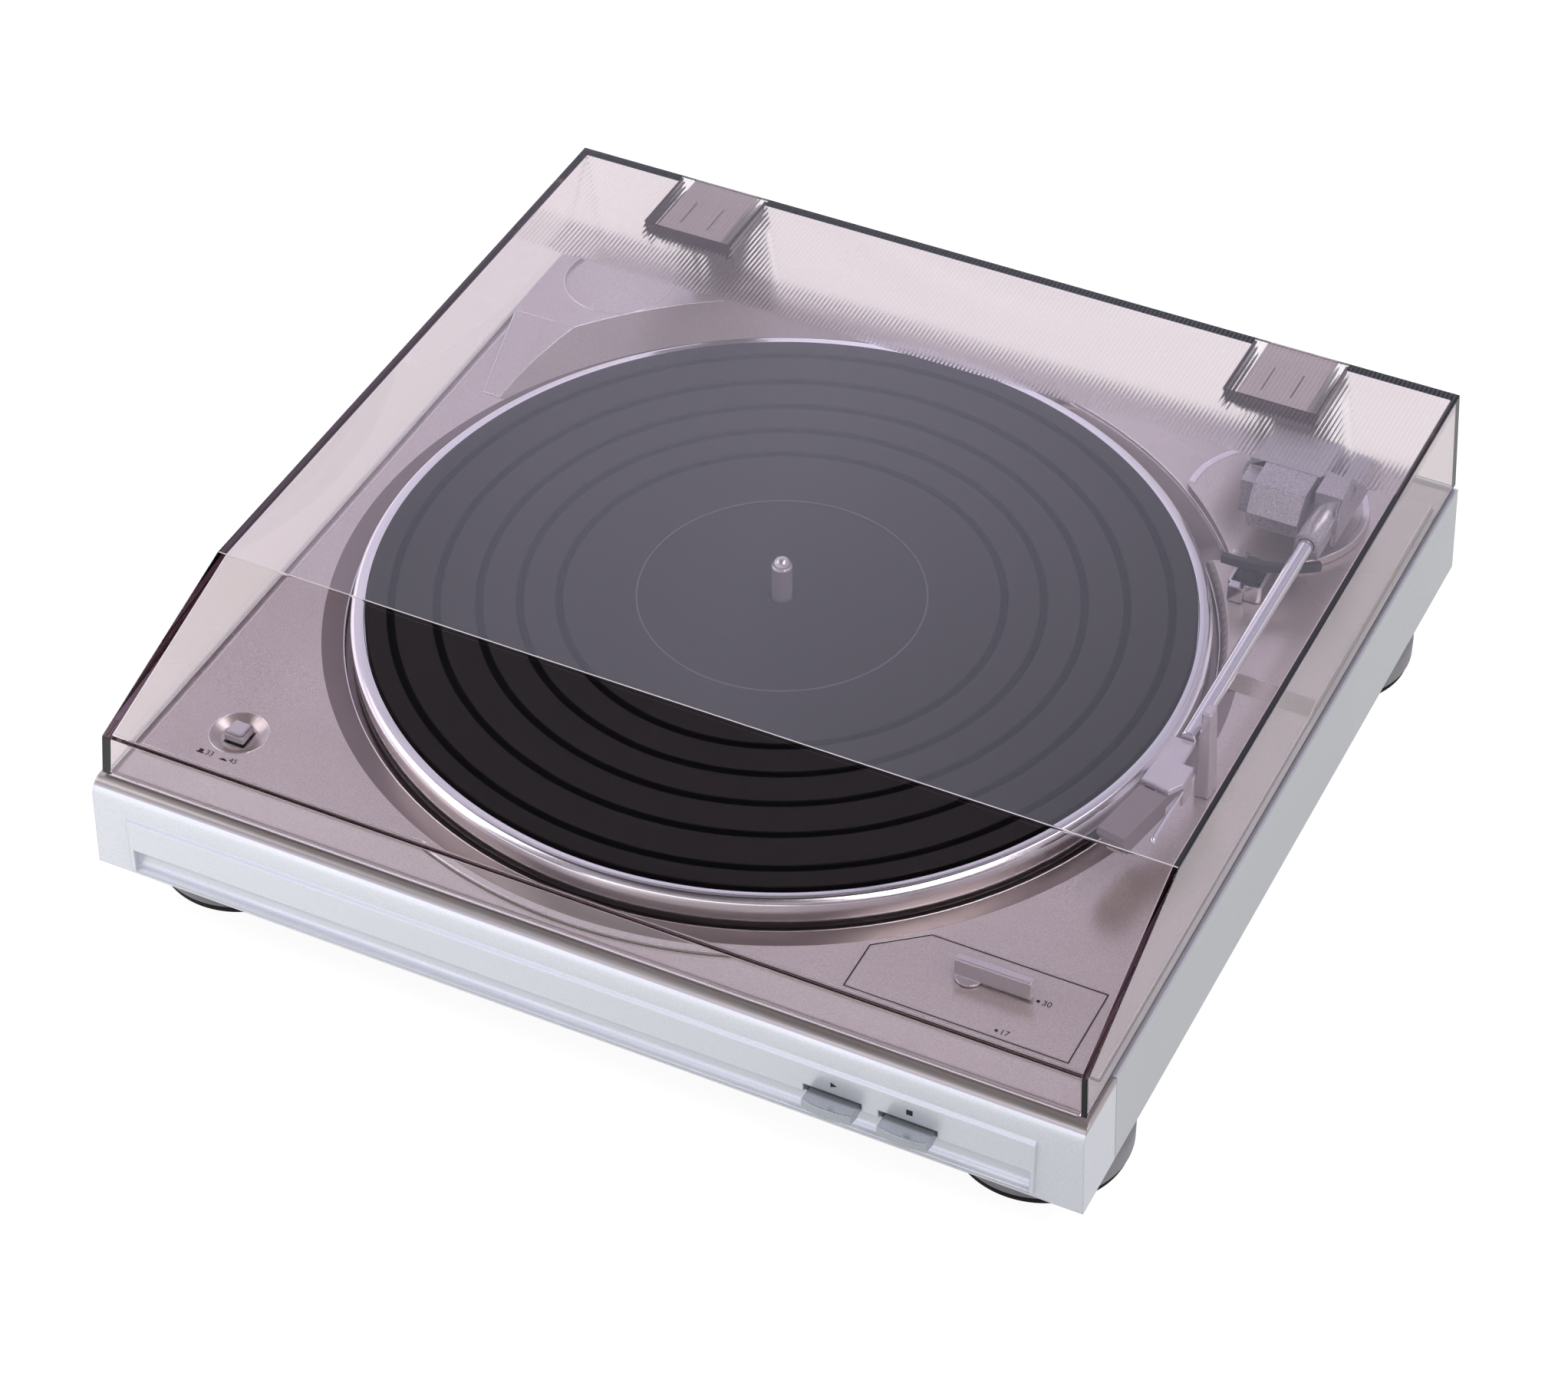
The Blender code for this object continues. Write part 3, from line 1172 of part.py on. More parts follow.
def make_electrics():
    """Make the transformer, circuit board with its parts, speed switch and rear glands."""
    left = -INNER_HALF_WIDTH + TRANSFORMER_INSET_X
    rear = INNER_REAR_Y - TRANSFORMER_INSET_Y
    low = BOTTOM_Z + GAP
    core = box(
        left, left + TRANSFORMER_WIDTH, rear - TRANSFORMER_DEPTH, rear,
        low, low + TRANSFORMER_HEIGHT,
    )
    over = TRANSFORMER_COIL_OVERHANG
    coil = box(
        left + 2 * over, left + TRANSFORMER_WIDTH - 2 * over,
        rear - TRANSFORMER_DEPTH - over, rear + over,
        low + over, low + TRANSFORMER_HEIGHT - over,
    )
    solid("transformer", "zinc_steel", core, [("add", coil)])
    x, y = board_corner()
    board_low = BOTTOM_Z + BOARD_LIFT
    board_top = board_low + BOARD_THICK
    board = box(x, x + BOARD_WIDTH, y, y + BOARD_DEPTH, board_low, board_top)
    parts_low = board_top - SINK
    parts = []
    for number in range(4):
        parts.append(rod(
            CAPACITOR_RADIUS, "z", parts_low, parts_low + CAPACITOR_HEIGHT,
            (x + 3 * CAPACITOR_RADIUS * (number + 1), y + 3 * CAPACITOR_RADIUS),
        ))
    for number in range(2):
        chip_x = x + 2 * CHIP_WIDTH + number * (CHIP_LENGTH + CHIP_WIDTH)
        chip_y = y + BOARD_DEPTH / 2
        parts.append(box(
            chip_x, chip_x + CHIP_LENGTH, chip_y, chip_y + CHIP_WIDTH,
            parts_low, parts_low + CHIP_HEIGHT,
        ))
    solid("circuit_board", "green_board", board, [("add", merged(parts))])
    half = SPEED_SWITCH_SIDE / 2
    switch_top = UNDER_LEDGE_Z - GAP
    switch = box(
        BUTTON_X - half, BUTTON_X + half, BUTTON_Y - half, BUTTON_Y + half,
        switch_top - SPEED_SWITCH_HEIGHT, switch_top,
    )
    well = rod(
        BUTTON_STEM_RADIUS + GAP, "z", switch_top - SPEED_SWITCH_HEIGHT + BOARD_THICK,
        switch_top + OVERRUN, (BUTTON_X, BUTTON_Y),
    )
    solid("speed_switch", "black_plastic", switch, [("cut", well)])
    for name, side in (("mains_gland", -1), ("audio_gland", 1)):
        middle = (side * GLAND_FROM_CENTRE, BASE_Z + PLINTH_HEIGHT / 2)
        sleeve = rod(
            GLAND_RADIUS, "y", INNER_REAR_Y - PLINTH_WALL, REAR_Y + GLAND_FLANGE, middle
        )
        flange = rod(
            GLAND_FLANGE_RADIUS, "y", REAR_Y + GAP, REAR_Y + GLAND_FLANGE, middle
        )
        bore = rod(
            GLAND_BORE_RADIUS, "y", INNER_REAR_Y - OVERRUN, REAR_Y + OVERRUN, middle
        )
        solid(name, "black_rubber", sleeve, [("add", flange), ("cut", bore)])


# Controls

def make_controls():
    """Make the speed button, the size panel, the size lever and its crank."""
    top = DECK_Z + BUTTON_PROUD
    low = top - BUTTON_HEIGHT
    half_x = BUTTON_WIDTH / 2
    half_y = BUTTON_DEPTH / 2
    cap = loft([
        [(BUTTON_X + sx * half_x, BUTTON_Y + sy * half_y, low)
         for sx, sy in ((-1, -1), (1, -1), (1, 1), (-1, 1))],
        [(BUTTON_X + sx * half_x, BUTTON_Y + sy * half_y, top - BUTTON_CHAMFER)
         for sx, sy in ((-1, -1), (1, -1), (1, 1), (-1, 1))],
        [(BUTTON_X + sx * (half_x - BUTTON_CHAMFER), BUTTON_Y + sy * (half_y - BUTTON_CHAMFER), top)
         for sx, sy in ((-1, -1), (1, -1), (1, 1), (-1, 1))],
    ])
    stem = rod(
        BUTTON_STEM_RADIUS, "z", low - BUTTON_STEM_LENGTH, low + SINK, (BUTTON_X, BUTTON_Y)
    )
    solid("speed_button", "bare_aluminium", cap, [("add", stem)], (BUTTON_X, BUTTON_Y, low))
    panel_low = DECK_Z - SELECTOR_PANEL_THICK
    shaft_hole = rod(
        LEVER_SHAFT_RADIUS + GAP, "z", panel_low - OVERRUN, DECK_Z + OVERRUN, (LEVER_X, LEVER_Y)
    )
    solid("size_panel", "mauve_metallic", prism(selector_outline(), "z", panel_low, DECK_Z), [
        ("cut", shaft_hole)
    ])
    disc_low = DECK_Z + GAP
    disc_top = disc_low + LEVER_DISC_THICK
    disc = rod(LEVER_DISC_RADIUS, "z", disc_low, disc_top, (LEVER_X, LEVER_Y), ROUND)
    handle = box(
        LEVER_X - LEVER_TAIL, LEVER_X + LEVER_REACH,
        LEVER_Y - LEVER_WIDTH / 2, LEVER_Y + LEVER_WIDTH / 2,
        disc_low + SINK, disc_top + LEVER_HEIGHT,
    )
    shaft = rod(
        LEVER_SHAFT_RADIUS, "z", disc_low - LEVER_SHAFT_DEPTH, disc_low + SINK,
        (LEVER_X, LEVER_Y),
    )
    solid("size_lever", "bare_aluminium", disc, [("add", handle), ("add", shaft)],
          (LEVER_X, LEVER_Y, DECK_Z))
    crank_top = UNDER_LEDGE_Z - GAP
    half = CRANK_WIDTH / 2
    crank = box(
        LEVER_X - half, LEVER_X + half, LEVER_Y - half, LEVER_Y + CRANK_LENGTH,
        crank_top - CRANK_THICK, crank_top,
    )
    hole = rod(
        LEVER_SHAFT_RADIUS + GAP, "z", crank_top - OVERRUN, crank_top + OVERRUN,
        (LEVER_X, LEVER_Y),
    )
    solid("size_crank", "zinc_steel", crank, [("cut", hole)], (LEVER_X, LEVER_Y, DECK_Z))


def spring_tube(middle_x, middle_z, front, length):
    """Make a compression spring as one coiled tube along Y."""
    curve = bpy.data.curves.new("spring_path", "CURVE")
    curve.dimensions = "3D"
    curve.bevel_depth = SPRING_WIRE
    curve.bevel_resolution = 1
    curve.use_fill_caps = True
    spline = curve.splines.new("POLY")
    count = SPRING_TURNS * 10 + 1
    spline.points.add(count - 1)
    for j in range(count):
        angle = 2 * math.pi * j / 10
        travel = front + SPRING_WIRE + (length - 2 * SPRING_WIRE) * j / (count - 1)
        spline.points[j].co = (
            middle_x + SPRING_RADIUS * math.cos(angle), travel,
            middle_z + SPRING_RADIUS * math.sin(angle), 1,
        )
    return curve


def make_keys():
    """Make the start and stop keys, their springs, links and the bracket behind them."""
    bracket_y = KEY_REAR_Y + SPRING_LENGTH + 2 * GAP
    for name, middle in zip(KEY_NAMES, KEY_CENTRES):
        origin = (middle, KEY_REAR_Y, KEY_ROD_Z)
        half = KEY_WIDTH / 2
        nose = [
            (middle - half, KEY_FRONT_Y + KEY_BULGE), (middle - half / 2, KEY_FRONT_Y + KEY_BULGE / 4),
            (middle, KEY_FRONT_Y), (middle + half / 2, KEY_FRONT_Y + KEY_BULGE / 4),
            (middle + half, KEY_FRONT_Y + KEY_BULGE),
        ]
        back = FRONT_Y - GAP
        plan = nose + [(middle + half, back), (middle - half, back)]
        rises = [KEY_RISE * (back - y) / (back - KEY_FRONT_Y) for _, y in plan]
        cap = loft([
            [(x, y, KEY_TOP_Z - KEY_THICK + rise) for (x, y), rise in zip(plan, rises)],
            [(x, y, KEY_TOP_Z + rise) for (x, y), rise in zip(plan, rises)],
        ])
        shank = box(
            middle - half, middle + half, back - SINK, KEY_REAR_Y,
            KEY_TOP_Z - KEY_THICK, KEY_TOP_Z,
        )
        rod_end = KEY_REAR_Y + KEY_ROD_LENGTH
        pin = rod(
            KEY_ROD_RADIUS, "y", KEY_REAR_Y - SINK, rod_end, (middle, KEY_ROD_Z)
        )
        solid(f"{name}_key", "silver_paint", cap, [("add", shank), ("add", pin)], origin)
        link_front = rod_end + GAP
        link = merged([box(
            middle - LINK_WIDTH / 2, middle + LINK_WIDTH / 2, link_front, link_front + LINK_LENGTH,
            KEY_ROD_Z - KEY_ROD_RADIUS - LINK_THICK, KEY_ROD_Z - KEY_ROD_RADIUS,
        )])
        tab = box(
            middle - LINK_WIDTH / 2, middle + LINK_WIDTH / 2, link_front, link_front + LINK_THICK,
            KEY_ROD_Z - KEY_ROD_RADIUS - SINK, KEY_ROD_Z + 2 * KEY_ROD_RADIUS,
        )
        solid(f"{name}_link", "zinc_steel", link, [("add", tab)], origin)
        spring = bpy.data.objects.new(f"{name}_spring", spring_tube(
            middle, KEY_ROD_Z, KEY_REAR_Y + GAP, SPRING_LENGTH
        ))
        spring.data.materials.append(material("zinc_steel"))
        bpy.context.scene.collection.objects.link(spring)
    first, last = KEY_CENTRES
    wall = box(
        first - KEY_WIDTH / 2, last + KEY_WIDTH / 2, bracket_y, bracket_y + BRACKET_THICK,
        BOTTOM_Z + GAP, KEY_ROD_Z + 3 * KEY_ROD_RADIUS,
    )
    foot = box(
        first - KEY_WIDTH / 2, last + KEY_WIDTH / 2, bracket_y, bracket_y + KEY_WIDTH / 2,
        BOTTOM_Z + GAP, BOTTOM_Z + GAP + BRACKET_THICK,
    )
    holes = merged([
        rod(KEY_ROD_RADIUS + GAP, "y", bracket_y - OVERRUN, bracket_y + OVERRUN,
            (middle, KEY_ROD_Z))
        for middle in KEY_CENTRES
    ])
    solid("key_bracket", "zinc_steel", wall, [("add", foot), ("cut", holes)])


# Tonearm

def make_arm_base():
    """Make the base disc, clipped round the ring, and the bearing sleeve under the deck."""
    limit = RING_RADIUS + GAP
    outline = []
    for x, y in circle(ARM_BASE_RADIUS, FINE, (ARM_X, ARM_Y)):
        dx = x - PLATTER_X
        dy = y - PLATTER_Y
        distance = math.hypot(dx, dy)
        scale = max(1, limit / distance)
        outline.append((PLATTER_X + dx * scale, PLATTER_Y + dy * scale))
    low = PLATFORM_Z + GAP
    sleeve = rod(ARM_SLEEVE_RADIUS, "z", PLATE_Z + GAP, low + SINK, (ARM_X, ARM_Y))
    shaft_hole = rod(
        ARM_SHAFT_RADIUS + GAP, "z", PLATE_Z - OVERRUN, ARM_BASE_Z + OVERRUN, (ARM_X, ARM_Y)
    )
    solid("arm_base", "mauve_metallic", prism(outline, "z", low, ARM_BASE_Z), [
        ("add", sleeve), ("cut", shaft_hole)
    ])


def make_arm_yaw_group():
    """Make the turning yoke, its vertical shaft and the sector lever under the plate."""
    axis = (ARM_X, ARM_Y, ARM_BASE_Z)
    low = ARM_BASE_Z + GAP
    body_low = YOKE_TOP_Z - YOKE_BODY_HEIGHT
    left = ARM_X - YOKE_BODY_LEFT
    right = TUBE_X - YOKE_RIGHT_GAP
    front = ARM_Y - YOKE_BODY_FRONT
    rear = ARM_Y + YOKE_BODY_REAR
    base = rod(YOKE_BASE_RADIUS, "z", low, body_low + SINK, (ARM_X, ARM_Y), ROUND)
    rail_rear = front + YOKE_RAIL_DEPTH
    body = prism(
        [
            (front, body_low), (front, YOKE_TOP_Z), (rail_rear, YOKE_TOP_Z),
            (rail_rear, YOKE_TOP_Z - YOKE_RAIL_HEIGHT), (rear, YOKE_TOP_Z - YOKE_RAIL_HEIGHT),
            (rear, body_low),
        ],
        "x", left, right,
    )
    block_front = front - YOKE_BLOCK_FRONT
    lean_z = YOKE_TOP_Z - YOKE_BLOCK_LEAN_HEIGHT
    block = prism(
        [
            (front + SINK, YOKE_TOP_Z - GAP), (block_front, YOKE_TOP_Z - GAP),
            (block_front - YOKE_BLOCK_LEAN, lean_z),
            (block_front - YOKE_BLOCK_LEAN + YOKE_BLOCK_STEP, lean_z),
            (block_front - YOKE_BLOCK_LEAN + YOKE_BLOCK_STEP, body_low + GAP),
            (front + SINK, body_low + GAP),
        ],
        "x", ARM_X - YOKE_BLOCK_LEFT, right - YOKE_BLOCK_STEP,
    )
    ear_top = YOKE_TOP_Z - YOKE_EAR_DROP
    ear = box(
        left, ARM_X, front - YOKE_EAR_FRONT, front + SINK, ear_top - YOKE_EAR_HEIGHT, ear_top
    )
    pin = rod(
        PIVOT_PIN_RADIUS, "x", right - SINK, TUBE_X + PIVOT_BLOCK_RIGHT / 2,
        (PITCH_Y, PITCH_Z),
    )
    bore_top = body_low - GAP
    bore = rod(ARM_SHAFT_RADIUS + GAP, "z", low - OVERRUN, bore_top, (ARM_X, ARM_Y))
    solid("arm_yoke", "cast_zinc", base, [
        ("add", body), ("add", block), ("add", ear), ("add", pin), ("cut", bore)
    ], axis)
    sector_top = PLATE_LOW_Z - GAP
    shaft_top = bore_top - GAP
    shaft = rod(
        ARM_SHAFT_RADIUS, "z", sector_top - 3 * SECTOR_THICK, shaft_top, (ARM_X, ARM_Y)
    )
    heading = math.degrees(math.atan2(PLATTER_Y - ARM_Y, PLATTER_X - ARM_X))
    fan = circle(
        SECTOR_REACH, SMALL, (ARM_X, ARM_Y),
        heading - SECTOR_HALF_ANGLE, heading + SECTOR_HALF_ANGLE,
    )
    hub = circle(
        SECTOR_HUB_RADIUS, SMALL, (ARM_X, ARM_Y),
        heading + 2 * SECTOR_HALF_ANGLE, heading + 360 - 2 * SECTOR_HALF_ANGLE,
    )
    solid("arm_shaft", "zinc_steel", prism(
        fan + hub, "z", sector_top - SECTOR_THICK, sector_top
    ), [("add", shaft)], axis)


def make_pivot_block():
    """Make the pitch block with its cheek and arched sleeve, the pivot screw and the weight."""
    axis = (TUBE_X, PITCH_Y, PITCH_Z)
    left = TUBE_X - PIVOT_BLOCK_LEFT
    right = TUBE_X + PIVOT_BLOCK_RIGHT
    front = PITCH_Y - PIVOT_BLOCK_FRONT
    under = PITCH_Z - PIVOT_BLOCK_UNDER
    slope_z = PITCH_Z - PIVOT_BLOCK_SLOPE
    block = prism(
        [
            (front, YOKE_TOP_Z), (PITCH_Y - PIVOT_BLOCK_TOP_REAR, YOKE_TOP_Z),
            (PITCH_Y + PIVOT_BLOCK_REAR, slope_z), (PITCH_Y + PIVOT_BLOCK_REAR, under),
            (front, under),
        ],
        "x", left, right,
    )
    cheek_low = PITCH_Z - PIVOT_CHEEK_UNDER
    cheek = prism(
        [
            (front, YOKE_TOP_Z - SINK), (PITCH_Y - PIVOT_BLOCK_TOP_REAR, YOKE_TOP_Z - SINK),
            (PITCH_Y + PIVOT_BLOCK_REAR - SINK, slope_z),
            (PITCH_Y + PIVOT_BLOCK_REAR - PIVOT_CHEEK_THICK, cheek_low),
            (front - PIVOT_CHEEK_LEAN, cheek_low),
        ],
        "x", right - PIVOT_CHEEK_THICK, right + GAP,
    )
    arch = circle(SLEEVE_RADIUS, SMALL, (TUBE_X, TUBE_Z), 0, 180)
    arch += [
        (TUBE_X - SLEEVE_RADIUS, TUBE_Z - SLEEVE_SKIRT),
        (TUBE_X + SLEEVE_RADIUS, TUBE_Z - SLEEVE_SKIRT),
    ]
    sleeve = prism(arch, "y", SLEEVE_FRONT_Y, SLEEVE_REAR_Y + SINK)
    tube_hole = rod(
        TUBE_RADIUS + GAP, "y", SLEEVE_FRONT_Y - OVERRUN,
        SLEEVE_FRONT_Y + TUBE_INSIDE_SLEEVE + GAP, (TUBE_X, TUBE_Z),
    )
    pin_hole = rod(
        PIVOT_PIN_RADIUS + GAP, "x", left - OVERRUN,
        TUBE_X + PIVOT_BLOCK_RIGHT / 2 + GAP, (PITCH_Y, PITCH_Z),
    )
    screw_low = right + GAP - PIVOT_SCREW_THICK
    screw_hole = rod(
        PIVOT_SCREW_RADIUS + GAP, "x", screw_low - GAP, right + OVERRUN, (PITCH_Y, PITCH_Z)
    )
    solid("arm_pivot_block", "cast_zinc", block, [
        ("add", cheek), ("add", sleeve), ("cut", tube_hole), ("cut", pin_hole),
        ("cut", screw_hole),
    ], axis)
    screw = rod(
        PIVOT_SCREW_RADIUS, "x", screw_low, right, (PITCH_Y, PITCH_Z)
    )
    solid("pivot_screw", "zinc_steel", screw, (), axis)
    weight_front = PITCH_Y + PIVOT_BLOCK_REAR + GAP
    weight_low = PITCH_Z - WEIGHT_UNDER
    solid("counterweight", "cast_zinc", box(
        left + GAP, right, weight_front, weight_front + WEIGHT_LENGTH,
        weight_low, weight_low + WEIGHT_HEIGHT,
    ), (), axis)


def make_arm_front():
    """Make the tube, headshell, cartridge, stylus and finger lift."""
    axis = (TUBE_X, PITCH_Y, PITCH_Z)
    solid("arm_tube", "chrome", rod(
        TUBE_RADIUS, "y", TUBE_FRONT_Y, SLEEVE_FRONT_Y + TUBE_INSIDE_SLEEVE, (TUBE_X, TUBE_Z)
    ), (), axis)
    top = TUBE_Z
    low = top - SHELL_THICK
    rear = TUBE_FRONT_Y - GAP
    side = TUBE_X + SHELL_SHOULDER_WIDTH
    outline = [
        (TUBE_X - SHELL_REAR_LEFT, rear),
        (TUBE_X - SHELL_FRONT_LEFT, rear - SHELL_LEFT_LENGTH),
        (TUBE_X + SHELL_FRONT_RIGHT, rear - SHELL_RIGHT_LENGTH),
        (side, rear - SHELL_SKIRT_END), (side, rear - SHELL_SHOULDER_BACK),
        (TUBE_X + SHELL_REAR_RIGHT, rear - SHELL_SHOULDER_BACK),
        (TUBE_X + SHELL_REAR_RIGHT, rear),
    ]
    skirt = box(
        side - SHELL_SKIRT_THICK, side, rear - SHELL_SKIRT_END + SINK,
        rear - SHELL_SHOULDER_BACK - SINK, top - SHELL_SKIRT_HEIGHT, top - SINK,
    )
    solid("headshell", "bare_aluminium", prism(outline, "z", low, top), [("add", skirt)], axis)
    middle_x = TUBE_X + (SHELL_FRONT_RIGHT - SHELL_FRONT_LEFT) / 2
    nose_y = rear - (SHELL_LEFT_LENGTH + SHELL_RIGHT_LENGTH) / 2
    pivot = (middle_x, nose_y, 0)
    half = CARTRIDGE_WIDTH / 2
    body_top = top - CARTRIDGE_DROP
    body_rear = nose_y - 2 * GAP
    body_front = body_rear - CARTRIDGE_LENGTH
    body_low = body_top - CARTRIDGE_HEIGHT
    cartridge = prism(
        [
            (body_rear, body_top), (body_front + CARTRIDGE_NOSE / 4, body_top),
            (body_front, body_top - SHELL_THICK), (body_front + CARTRIDGE_NOSE, body_low),
            (body_rear, body_low),
        ],
        "x", middle_x - half, middle_x + half,
    )
    solid("cartridge", "grey_plastic", spun(cartridge, -CARTRIDGE_ANGLE, pivot), (), axis)
    guard_rear = body_front + CARTRIDGE_NOSE + STYLUS_GUARD_LENGTH
    guard_low = body_low - GAP - STYLUS_GUARD_HEIGHT
    guard = box(
        middle_x - STYLUS_GUARD_WIDTH / 2, middle_x + STYLUS_GUARD_WIDTH / 2,
        body_front + CARTRIDGE_NOSE, guard_rear, guard_low, body_low - GAP,
    )
    tip_z = MAT_Z + RECORD_THICK + GAP
    needle_y = body_front + 2 * CARTRIDGE_NOSE
    needle = rod(STYLUS_RADIUS, "z", tip_z, guard_low + SINK, (middle_x, needle_y))
    solid("stylus", "black_plastic", spun(guard, -CARTRIDGE_ANGLE, pivot), [
        ("add", spun(needle, -CARTRIDGE_ANGLE, pivot))
    ], axis)
    finger_z = top - FINGER_DROP
    finger_rear = rear - SHELL_SKIRT_END
    finger = rod(
        FINGER_RADIUS, "y", finger_rear - FINGER_LENGTH, finger_rear,
        (side - SHELL_SKIRT_THICK / 2, finger_z),
    )
    tip = rod(
        FINGER_TIP_RADIUS, "y", finger_rear - FINGER_LENGTH - FINGER_TIP_RADIUS,
        finger_rear - FINGER_LENGTH + FINGER_TIP_RADIUS,
        (side - SHELL_SKIRT_THICK / 2, finger_z),
    )
    solid("finger_lift", "chrome", finger, [("add", tip)], axis)


def make_lifter():
    """Make the curved lifter bar with its body and rod, and the U-shaped guide round it."""
    outer = circle(BAR_RADIUS, SMALL, (ARM_X, ARM_Y), BAR_FROM_ANGLE, BAR_TO_ANGLE)
    inner = circle(BAR_RADIUS - BAR_WIDTH, SMALL, (ARM_X, ARM_Y), BAR_FROM_ANGLE, BAR_TO_ANGLE)
    bar = prism(outer + inner[::-1], "z", BAR_TOP_Z - BAR_HEIGHT, BAR_TOP_Z)
    half = LIFTER_WIDTH / 2
    front = LIFTER_Y + GAP
    rear = front + LIFTER_DEPTH
    low = PLATFORM_Z + LIFTER_FLOAT
    shelf = low + LIFTER_SHELF
    base = prism(
        [
            (LIFTER_X - half, rear), (LIFTER_X - half, front + half / 2),
            (LIFTER_X - half / 2, front), (LIFTER_X + half / 2, front),
            (LIFTER_X + half, front + half / 2), (LIFTER_X + half, rear),
        ],
        "z", low, shelf,
    )
    riser = box(
        LIFTER_X - half / 2, LIFTER_X + half / 2, front + GAP, front + LIFTER_DEPTH / 2,
        shelf - SINK, BAR_TOP_Z - BAR_HEIGHT + SINK,
    )
    middle = (LIFTER_X, LIFTER_Y + LIFTER_DEPTH / 2)
    pin = rod(
        LIFTER_ROD_RADIUS, "z", PLATE_LOW_Z - PLATE_THICK, low + SINK, middle
    )
    solid("lifter_bar", "black_plastic", base, [("add", riser), ("add", bar), ("add", pin)],
          (LIFTER_X, LIFTER_Y, BAR_TOP_Z))
    inner_half = half + GUIDE_CLEAR
    outer_half = inner_half + GUIDE_WALL
    nose = front - GUIDE_CLEAR
    guide_low = PLATFORM_Z + GAP
    guide = prism(
        [
            (LIFTER_X - outer_half, nose + GUIDE_LENGTH), (LIFTER_X - outer_half, nose),
            (LIFTER_X - inner_half, nose - GUIDE_WALL),
            (LIFTER_X - inner_half, nose - GUIDE_WALL - GUIDE_BLOCK_DEPTH),
            (LIFTER_X - inner_half + GUIDE_BLOCK_WIDTH, nose - GUIDE_WALL - GUIDE_BLOCK_DEPTH),
            (LIFTER_X - inner_half + GUIDE_BLOCK_WIDTH, nose - GUIDE_WALL),
            (LIFTER_X + inner_half, nose - GUIDE_WALL),
            (LIFTER_X + outer_half, nose), (LIFTER_X + outer_half, nose + GUIDE_LENGTH),
            (LIFTER_X + inner_half, nose + GUIDE_LENGTH), (LIFTER_X + inner_half, nose),
            (LIFTER_X - inner_half, nose), (LIFTER_X - inner_half, nose + GUIDE_LENGTH),
        ],
        "z", guide_low, guide_low + GUIDE_HEIGHT,
    )
    solid("lifter_guide", "bare_aluminium", guide)


def make_arm_rest():
    """Make the tapered arm rest post with the small cradle under the tube."""
    left = TUBE_X + TUBE_RADIUS + REST_SIDE_CLEAR
    rear = TUBE_FRONT_Y + REST_DEPTH
    low = DECK_Z + GAP
    top_z = COVER_TOP_Z - COVER_WALL - REST_UNDER_COVER
    post = loft([
        [
            (left, rear - REST_DEPTH, low), (left + REST_WIDTH, rear - REST_DEPTH, low),
            (left + REST_WIDTH, rear, low), (left, rear, low),
        ],
        [
            (left, rear - REST_TOP_DEPTH, top_z),
            (left + REST_TOP_WIDTH, rear - REST_TOP_DEPTH, top_z),
            (left + REST_TOP_WIDTH, rear, top_z), (left, rear, top_z),
        ],
    ])
    cradle_top = TUBE_Z - TUBE_RADIUS - GAP
    cradle = box(
        TUBE_X - TUBE_RADIUS, left + SINK, rear - CRADLE_DEPTH - SINK, rear - SINK,
        cradle_top - CRADLE_THICK, cradle_top,
    )
    solid("arm_rest", "bare_aluminium", post, [("add", cradle)])


# Dust cover and hinges

def cover_shell(inset):
    """Make the cover's closed outer form, or its inner form when inset is the wall."""
    low = COVER_LOW_Z - (OVERRUN if inset else 0)
    top = COVER_TOP_Z - inset
    front_low = COVER_FRONT_Y + inset
    lip_z = COVER_LOW_Z + COVER_LIP_HEIGHT - inset / 2
    lip_y = COVER_FRONT_Y + COVER_LIP_LEAN + inset
    fold_y = COVER_FRONT_Y + COVER_LIP_LEAN + COVER_SLOPE_DEPTH + inset / 2
    rear = COVER_REAR_Y - inset

    def half(height):
        return COVER_HALF_WIDTH - inset - (height - COVER_LOW_Z) * COVER_DRAFT_share

    section = [(front_low, low), (lip_y, lip_z), (fold_y, top), (rear, top), (rear, low)]
    return loft([
        [(-half(z), y, z) for y, z in section],
        [(half(z), y, z) for y, z in section],
    ])


def make_cover():
    """Make the smoked dust cover: thin shell, rear notches, pocket ribs and front nubs."""
    notches = []
    ribs = []
    for _, middle in hinge_sides():
        half = HINGE_WIDTH / 2
        notches.append(box(
            middle - half, middle + half, COVER_REAR_Y - COVER_WALL - OVERRUN,
            COVER_REAR_Y + OVERRUN, COVER_LOW_Z - OVERRUN, COVER_TOP_Z - COVER_WALL + GAP,
        ))
        for side in (-1, 1):
            edge = middle + side * (half - SINK)
            ribs.append(box(
                min(edge, edge + side * HINGE_RIB_THICK), max(edge, edge + side * HINGE_RIB_THICK),
                COVER_REAR_Y - HINGE_POCKET_DEPTH, COVER_REAR_Y - COVER_WALL / 2,
                COVER_TOP_Z - COVER_WALL - HINGE_RIB_HEIGHT, COVER_TOP_Z - COVER_WALL / 2,
            ))
    nub_x = COVER_HALF_WIDTH - COVER_WALL / 2
    nubs = merged([
        rod(COVER_NUB_RADIUS, "z", LEDGE_Z + GAP, COVER_LOW_Z + SINK, (side * nub_x, y))
        for side in (-1, 1)
        for y in (COVER_FRONT_Y + 2 * COVER_WALL, COVER_REAR_Y - HINGE_POCKET_DEPTH)
    ])
    solid("dust_cover", "smoked_acrylic", cover_shell(0), [
        ("cut", cover_shell(COVER_WALL)), ("cut", merged(notches)), ("add", merged(ribs)),
        ("add", nubs),
    ], (0, HINGE_AXIS_Y, HINGE_AXIS_Z))


